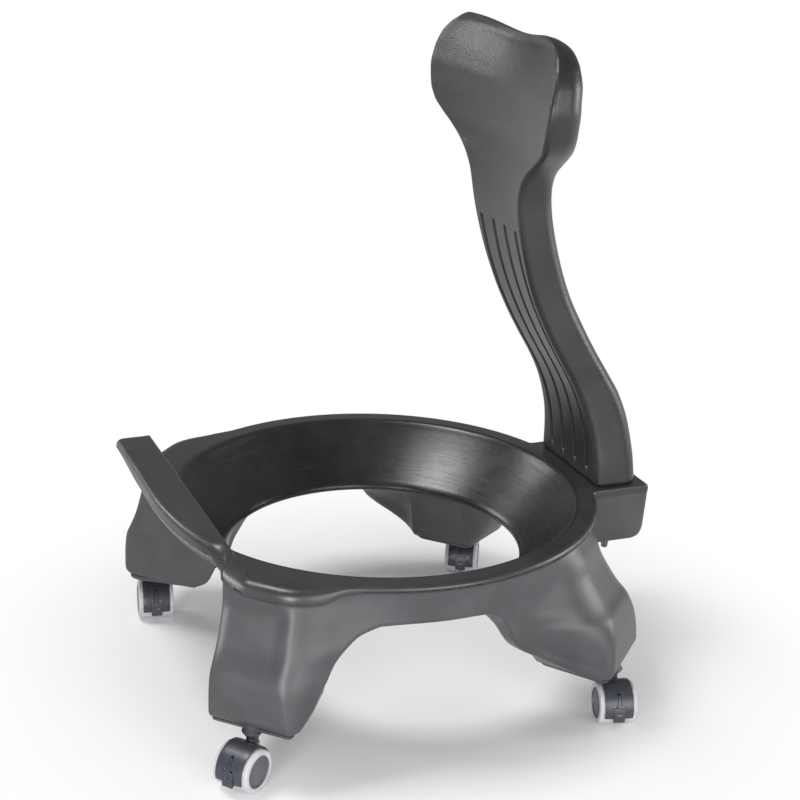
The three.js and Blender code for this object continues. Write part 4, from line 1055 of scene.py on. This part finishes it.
def grained_finish(name, colour, roughness, grain, depth, metallic=0.0):
    """A finish with a grain of one size, and a slow change of colour and of gloss."""
    finish = Finish(bpy.data.materials.new(name))
    place = finish.place()
    specks = finish.noise(place, grain, 2.0)
    cloud = finish.noise(place, 120.0, 2.0)
    base = finish.mix(cloud.within(0.3, 0.7), tone(colour, 0.9), tone(colour, 1.08))
    base = finish.mix(specks.within(0.6, 0.75) * 0.3, base, tone(colour, 0.72))
    rough = roughness + (specks - 0.5) * 0.15 + (cloud - 0.5) * 0.1
    return finish.surface(base, rough, specks * depth, Metallic=metallic)


def finish_named(name):
    """The chair's finishes are made once and shared by like pieces."""
    ready = bpy.data.materials.get(name)
    if ready:
        return ready
    look = bpy.context.scene.chair_look
    if name == "ring moulding":
        return moulding_finish(name, look)
    if name == "back moulding":
        return back_finish(name, look)
    plain = {
        "cap plastic": (look.cap, 0.45, 900.0, 0.00006),
        "hood plastic": (look.hood, 0.36, 1200.0, 0.00005),
        "hub plastic": (look.hub, 0.42, 1200.0, 0.00005),
        "tread": (look.tyre, 0.55, 700.0, 0.00012),
        "dark steel": (look.steel, 0.32, 600.0, 0.00003, 1.0),
    }
    return grained_finish(name, *plain[name])


# Stage

def lay_floor(colour):
    """A pale floor that turns to plain white away from the chair, except to the light itself."""
    floor = bpy.data.meshes.new("floor")
    corners = [(x * FLOOR_REACH, y * FLOOR_REACH, 0) for x, y in ((-1, -1), (1, -1), (1, 1), (-1, 1))]
    floor.from_pydata(corners, [], [(0, 1, 2, 3)])
    finish = Finish(bpy.data.materials.new("floor"))
    x, y, _ = finish.split(finish.place())
    share = finish.seen() * ((x * x + y * y) ** 0.5).within(SHADOW_START, SHADOW_END)
    shade = finish.node("ShaderNodeBsdfDiffuse", None, {"Color": (*colour, 1)})[0]
    glow = finish.node("ShaderNodeEmission", None, {"Color": WHITE, "Strength": 1.0})[0]
    both = finish.node("ShaderNodeMixShader", None, {0: share, 1: shade, 2: glow})[0]
    finish.node("ShaderNodeOutputMaterial", None, {0: both})
    floor.materials.append(finish.owner)
    ground = put_in_scene("floor", floor)


def light_sky(scene, level):
    """Even light from all round, and plain white to the camera."""
    scene.world = bpy.data.worlds.new("studio")
    sky = Finish(scene.world)
    strength = level + sky.node("ShaderNodeLightPath")[0] * (1 - level)
    glow = sky.node("ShaderNodeBackground", None, {"Color": WHITE, "Strength": strength})[0]
    sky.node("ShaderNodeOutputWorld", None, {0: glow})


def hang_lamp(name, energy):
    """A square lamp that faces the chair's middle."""
    place, size = LAMPS[name]
    lamp = bpy.data.lights.new(name, "AREA")
    lamp.energy, lamp.size = energy, size
    holder = put_in_scene(name, lamp)
    holder.location = place
    holder.rotation_euler = (Vector(LAMP_AIM) - Vector(place)).to_track_quat("-Z", "Y").to_euler()


def place_camera():
    """The camera looks along -back, its own right turned up by the roll."""
    camera = bpy.data.cameras.new("camera")
    camera.sensor_width = 36
    camera.lens = CAMERA_LENS
    camera.clip_end = 200
    azimuth, pitch, roll = np.radians([CAMERA_AZIMUTH, CAMERA_PITCH, CAMERA_ROLL])
    back = np.array([np.sin(azimuth) * np.cos(pitch), -np.cos(azimuth) * np.cos(pitch), np.sin(pitch)])
    level = np.array([np.cos(azimuth), np.sin(azimuth), 0])
    upright = np.cross(back, level)
    right = level * np.cos(roll) + upright * np.sin(roll)
    up = upright * np.cos(roll) - level * np.sin(roll)
    place = (np.array(CAMERA_PLACE) + np.array([0, RING_SHIFT, 0])) * MM
    pose = np.eye(4)
    pose[:3] = np.stack([right, up, back, place], axis=1)
    holder = put_in_scene("camera", camera)
    holder.matrix_world = Matrix(pose.tolist())
    return holder


# What a user can change

def colour_setting(name, place, default):
    return FloatVectorProperty(
        name=name, description=f"Colour of the {place}", subtype="COLOR", default=default, min=0, max=1)


def length_setting(name, place, default, least, most):
    return FloatProperty(
        name=name, description=f"Size of the {place}", unit="LENGTH", default=default * MM, min=least * MM,
        max=most * MM)


def power_setting(name, place, default):
    return FloatProperty(
        name=name, description=f"Power of the lamp {place}", unit="POWER", default=default, min=0, max=400)


class ChairLook(bpy.types.PropertyGroup):
    """Colours and gloss of the chair's plastics and metal."""
    moulding: colour_setting("Moulding", "frame and the back", (0.026, 0.026, 0.029))
    cap: colour_setting("Caps", "leg caps and caster sockets", (0.045, 0.045, 0.05))
    hood: colour_setting("Hoods", "caster hoods and brake levers", (0.03, 0.032, 0.042))
    hub: colour_setting("Hubs", "wheel hubs", (0.075, 0.075, 0.083))
    tyre: colour_setting("Tyres", "treads", (0.4, 0.4, 0.43))
    steel: colour_setting("Steel", "stems, axles and bolts", (0.16, 0.16, 0.17))
    roughness: FloatProperty(
        name="Roughness", description="Roughness of the moulded plastic", subtype="FACTOR",
        default=0.31, min=0, max=1)


class ChairShape(bpy.types.PropertyGroup):
    """Sizes of details that the frame leaves free."""
    edge_bevel: length_setting("Edge bevel", "rounding of the caster mouldings' edges", 0.5, 0.1, 1)
    foot_chamfer: length_setting("Foot chamfer", "rounding of the back's lower edge", FOOT_CHAMFER, 0.5, 4)
    groove_depth: length_setting("Groove depth", "grooves in the back's front", GROOVE_DEPTH, 1, 8)


class ChairStage(bpy.types.PropertyGroup):
    """Floor and lamps."""
    floor: colour_setting("Floor", "floor", (0.72, 0.72, 0.72))
    sky: FloatProperty(
        name="Sky", description="Strength of the even light from all round", default=0.3, min=0, max=2)
    key: power_setting("Key lamp", "beside the camera", 50)
    fill: power_setting("Fill lamp", "at the chair's left side", 55)
    top: power_setting("Top lamp", "overhead", 34)
    rim: power_setting("Rim lamp", "across the front bar", 18)
    side: power_setting("Side lamp", "behind the chair", 30)


# Operators

class CHAIR_OT_frame(bpy.types.Operator):
    """Make the seat ring with its bowl, bar, legs and socket block"""
    bl_idname = "chair.frame"
    bl_label = "Frame moulding"

    def execute(self, context):
        solid, marks = frame_moulding()
        make_piece("frame_moulding", solid, "ring moulding", "chair", "base_frame", marks)
        return {"FINISHED"}


class CHAIR_OT_back(bpy.types.Operator):
    """Make the back support"""
    bl_idname = "chair.back"
    bl_label = "Back moulding"

    def execute(self, context):
        shape = context.scene.chair_shape
        solid, marks = back_moulding(shape.foot_chamfer / MM, shape.groove_depth / MM)
        make_piece("back_moulding", solid, "back moulding", "chair", "back_support", marks)
        return {"FINISHED"}


class CHAIR_OT_bolts(bpy.types.Operator):
    """Make the two bolts and washers under the socket block"""
    bl_idname = "chair.bolts"
    bl_label = "Back bolts"

    def execute(self, context):
        base = BLOCK_BOTTOM - SEAT_GAP
        head = base - WASHER_HEIGHT - SEAT_GAP
        bolt = [(0, head - BOLT_HEAD_DEPTH), (BOLT_RADIUS, head - BOLT_HEAD_DEPTH), (BOLT_HEAD_RADIUS, head),
                (BOLT_RADIUS, head), (BOLT_RADIUS, BOLT_TIP), (0, BOLT_TIP)]
        bore = BOLT_RADIUS + SEAT_GAP
        washer = [(bore, base - WASHER_HEIGHT), (WASHER_RADIUS, base - WASHER_HEIGHT), (WASHER_RADIUS, base),
                  (bore, base), (bore, base - WASHER_HEIGHT + 0.01)]
        parts = {"bolt": lathe(rounded_path(bolt, [0, 1.2, 0.4, 0, 0.8, 0]), 40),
                 "washer": lathe(rounded_path(washer, [0, 0.6, 0.6, 0, 0]), 48)}
        for side, x in BOLT_PLACES.items():
            for title, (points, faces) in parts.items():
                placed = points + np.array([x, BACK_FRONT + BOLT_SET_BACK, 0]), faces
                make_piece(f"{title}_{side}", placed, "dark steel", "chair", f"back_{title}_{side}")
        return {"FINISHED"}


class CHAIR_OT_caps(bpy.types.Operator):
    """Make the plates and sockets under the four legs"""
    bl_idname = "chair.caps"
    bl_label = "Leg caps and sockets"

    def execute(self, context):
        flange = FOOT_BOTTOM - CAP_HEIGHT - 2 * SEAT_GAP
        bore, foot = STEM_RADIUS + SEAT_GAP, flange - FLANGE_DEPTH
        corners = [(bore, foot), (FLANGE_THROAT, foot), (FLANGE_RADIUS, flange - FLANGE_EDGE),
                   (FLANGE_RADIUS, flange), (SOCKET_RADIUS, flange), (SOCKET_RADIUS, SOCKET_TOP),
                   (bore, SOCKET_TOP), (bore, foot + 0.1)]
        socket = lathe(rounded_path(corners, [0, 0.8, 0.3, 0, 0, 0.5, 0, 0]), 48)
        for name in CASTERS:
            make_piece(f"cap_{name}", leg_cap(name), "cap plastic", "chair", f"leg_cap_{name}")
            make_piece(f"socket_{name}", at_caster(name, socket), "cap plastic", "chair",
                       f"caster_socket_{name}")
        return {"FINISHED"}


class CHAIR_OT_hoods(bpy.types.Operator):
    """Make the casters' hoods, stems and axles"""
    bl_idname = "chair.hoods"
    bl_label = "Caster hoods"

    def execute(self, context):
        low = WHEEL_RADIUS + HOOD_RADIUS + SEAT_GAP
        high = FOOT_BOTTOM - COLLAR_DEPTH - 3 * SEAT_GAP
        corners = [(0, STEM_FOOT), (STEM_RADIUS, STEM_FOOT), (STEM_RADIUS, low), (STEM_COLLAR, low),
                   (STEM_COLLAR, high), (STEM_RADIUS, high), (STEM_RADIUS, STEM_TOP), (0, STEM_TOP)]
        stem = lathe(rounded_path(corners, [0, 0, 0, 0.6, 0.6, 0, 1.2, 0]), 48)
        corners = [(0, -AXLE_HALF_LENGTH), (AXLE_RADIUS, -AXLE_HALF_LENGTH), (AXLE_RADIUS, AXLE_HALF_LENGTH),
                   (0, AXLE_HALF_LENGTH)]
        axle = about_axle(lathe(rounded_path(corners, [0, 0.6, 0.6, 0]), 32))
        cover = merged([hood_cover(1), hood_cover(-1)])
        for name in CASTERS:
            body, hood = f"caster_{name}", f"caster_hood_{name}"
            made = make_piece(f"hood_{name}", at_caster(name, cover), "hood plastic", body, hood)
            bevel(made, context.scene.chair_shape.edge_bevel)
            make_piece(f"hood_web_{name}", at_caster(name, hood_web()), "hood plastic", body, hood)
            for title, solid in (("stem", stem), ("axle", axle)):
                make_piece(f"{title}_{name}", at_caster(name, solid), "dark steel", body,
                           f"caster_{title}_{name}")
        return {"FINISHED"}


class CHAIR_OT_levers(bpy.types.Operator):
    """Make the brake levers"""
    bl_idname = "chair.levers"
    bl_label = "Brake levers"

    def execute(self, context):
        for name in CASTERS:
            lever = make_piece(f"lever_pad_{name}", at_caster(name, brake_lever()), "hood plastic",
                               f"lever_{name}", f"brake_lever_{name}")
            bevel(lever, context.scene.chair_shape.edge_bevel)
        return {"FINISHED"}


class CHAIR_OT_wheels(bpy.types.Operator):
    """Make the treads and hubs of the eight wheels"""
    bl_idname = "chair.wheels"
    bl_label = "Wheels"

    def execute(self, context):
        kinds = (("tread", "tyre", wheel_tyre(), "tread", "tyre"),
                 ("hub", "hub", wheel_hub(), "hub plastic", "hub_plastic"))
        for name in CASTERS:
            for side, letter in ((1, "a"), (-1, "b")):
                for title, node, solid, finish, slot in kinds:
                    make_piece(f"{title}_{name}_{letter}", at_caster(name, about_axle(solid, side)), finish,
                               f"wheel_{name}_{letter}", f"wheel_{node}_{name}_{letter}")
        return {"FINISHED"}


class CHAIR_OT_stage(bpy.types.Operator):
    """Make the floor, the lamps, the even light and the camera"""
    bl_idname = "chair.stage"
    bl_label = "Stage"

    def execute(self, context):
        scene, stage = context.scene, context.scene.chair_stage
        scene.view_settings.view_transform = "Standard"
        lay_floor(stage.floor)
        light_sky(scene, stage.sky)
        for name in LAMPS:
            hang_lamp(name, getattr(stage, name))
        scene.camera = place_camera()
        return {"FINISHED"}


class CHAIR_PT_panel(bpy.types.Panel):
    """Steps and settings of the balance ball chair"""
    bl_idname = "CHAIR_PT_panel"
    bl_label = "Balance ball chair"
    bl_space_type = "VIEW_3D"
    bl_region_type = "UI"
    bl_category = "Ball chair"

    def draw(self, context):
        for group in GROUPS:
            settings = getattr(context.scene, group)
            box = self.layout.box()
            for title in settings.__annotations__:
                box.prop(settings, title)
        for step in STEPS:
            self.layout.operator(step.bl_idname)


STEPS = (CHAIR_OT_frame, CHAIR_OT_back, CHAIR_OT_bolts, CHAIR_OT_caps, CHAIR_OT_hoods, CHAIR_OT_levers,
         CHAIR_OT_wheels, CHAIR_OT_stage)
GROUPS = {"chair_look": ChairLook, "chair_shape": ChairShape, "chair_stage": ChairStage}
CLASSES = (*GROUPS.values(), *STEPS, CHAIR_PT_panel)


def register():
    for item in CLASSES:
        bpy.utils.register_class(item)
    for title, group in GROUPS.items():
        setattr(bpy.types.Scene, title, PointerProperty(type=group))


def unregister():
    for title in GROUPS:
        delattr(bpy.types.Scene, title)
    for item in reversed(CLASSES):
        bpy.utils.unregister_class(item)


def main():
    register()
    bpy.ops.chair.frame()
    bpy.ops.chair.back()
    bpy.ops.chair.bolts()
    bpy.ops.chair.caps()
    bpy.ops.chair.hoods()
    bpy.ops.chair.levers()
    bpy.ops.chair.wheels()
    bpy.ops.chair.stage()
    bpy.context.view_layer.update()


if __name__ == "__main__":
    main()
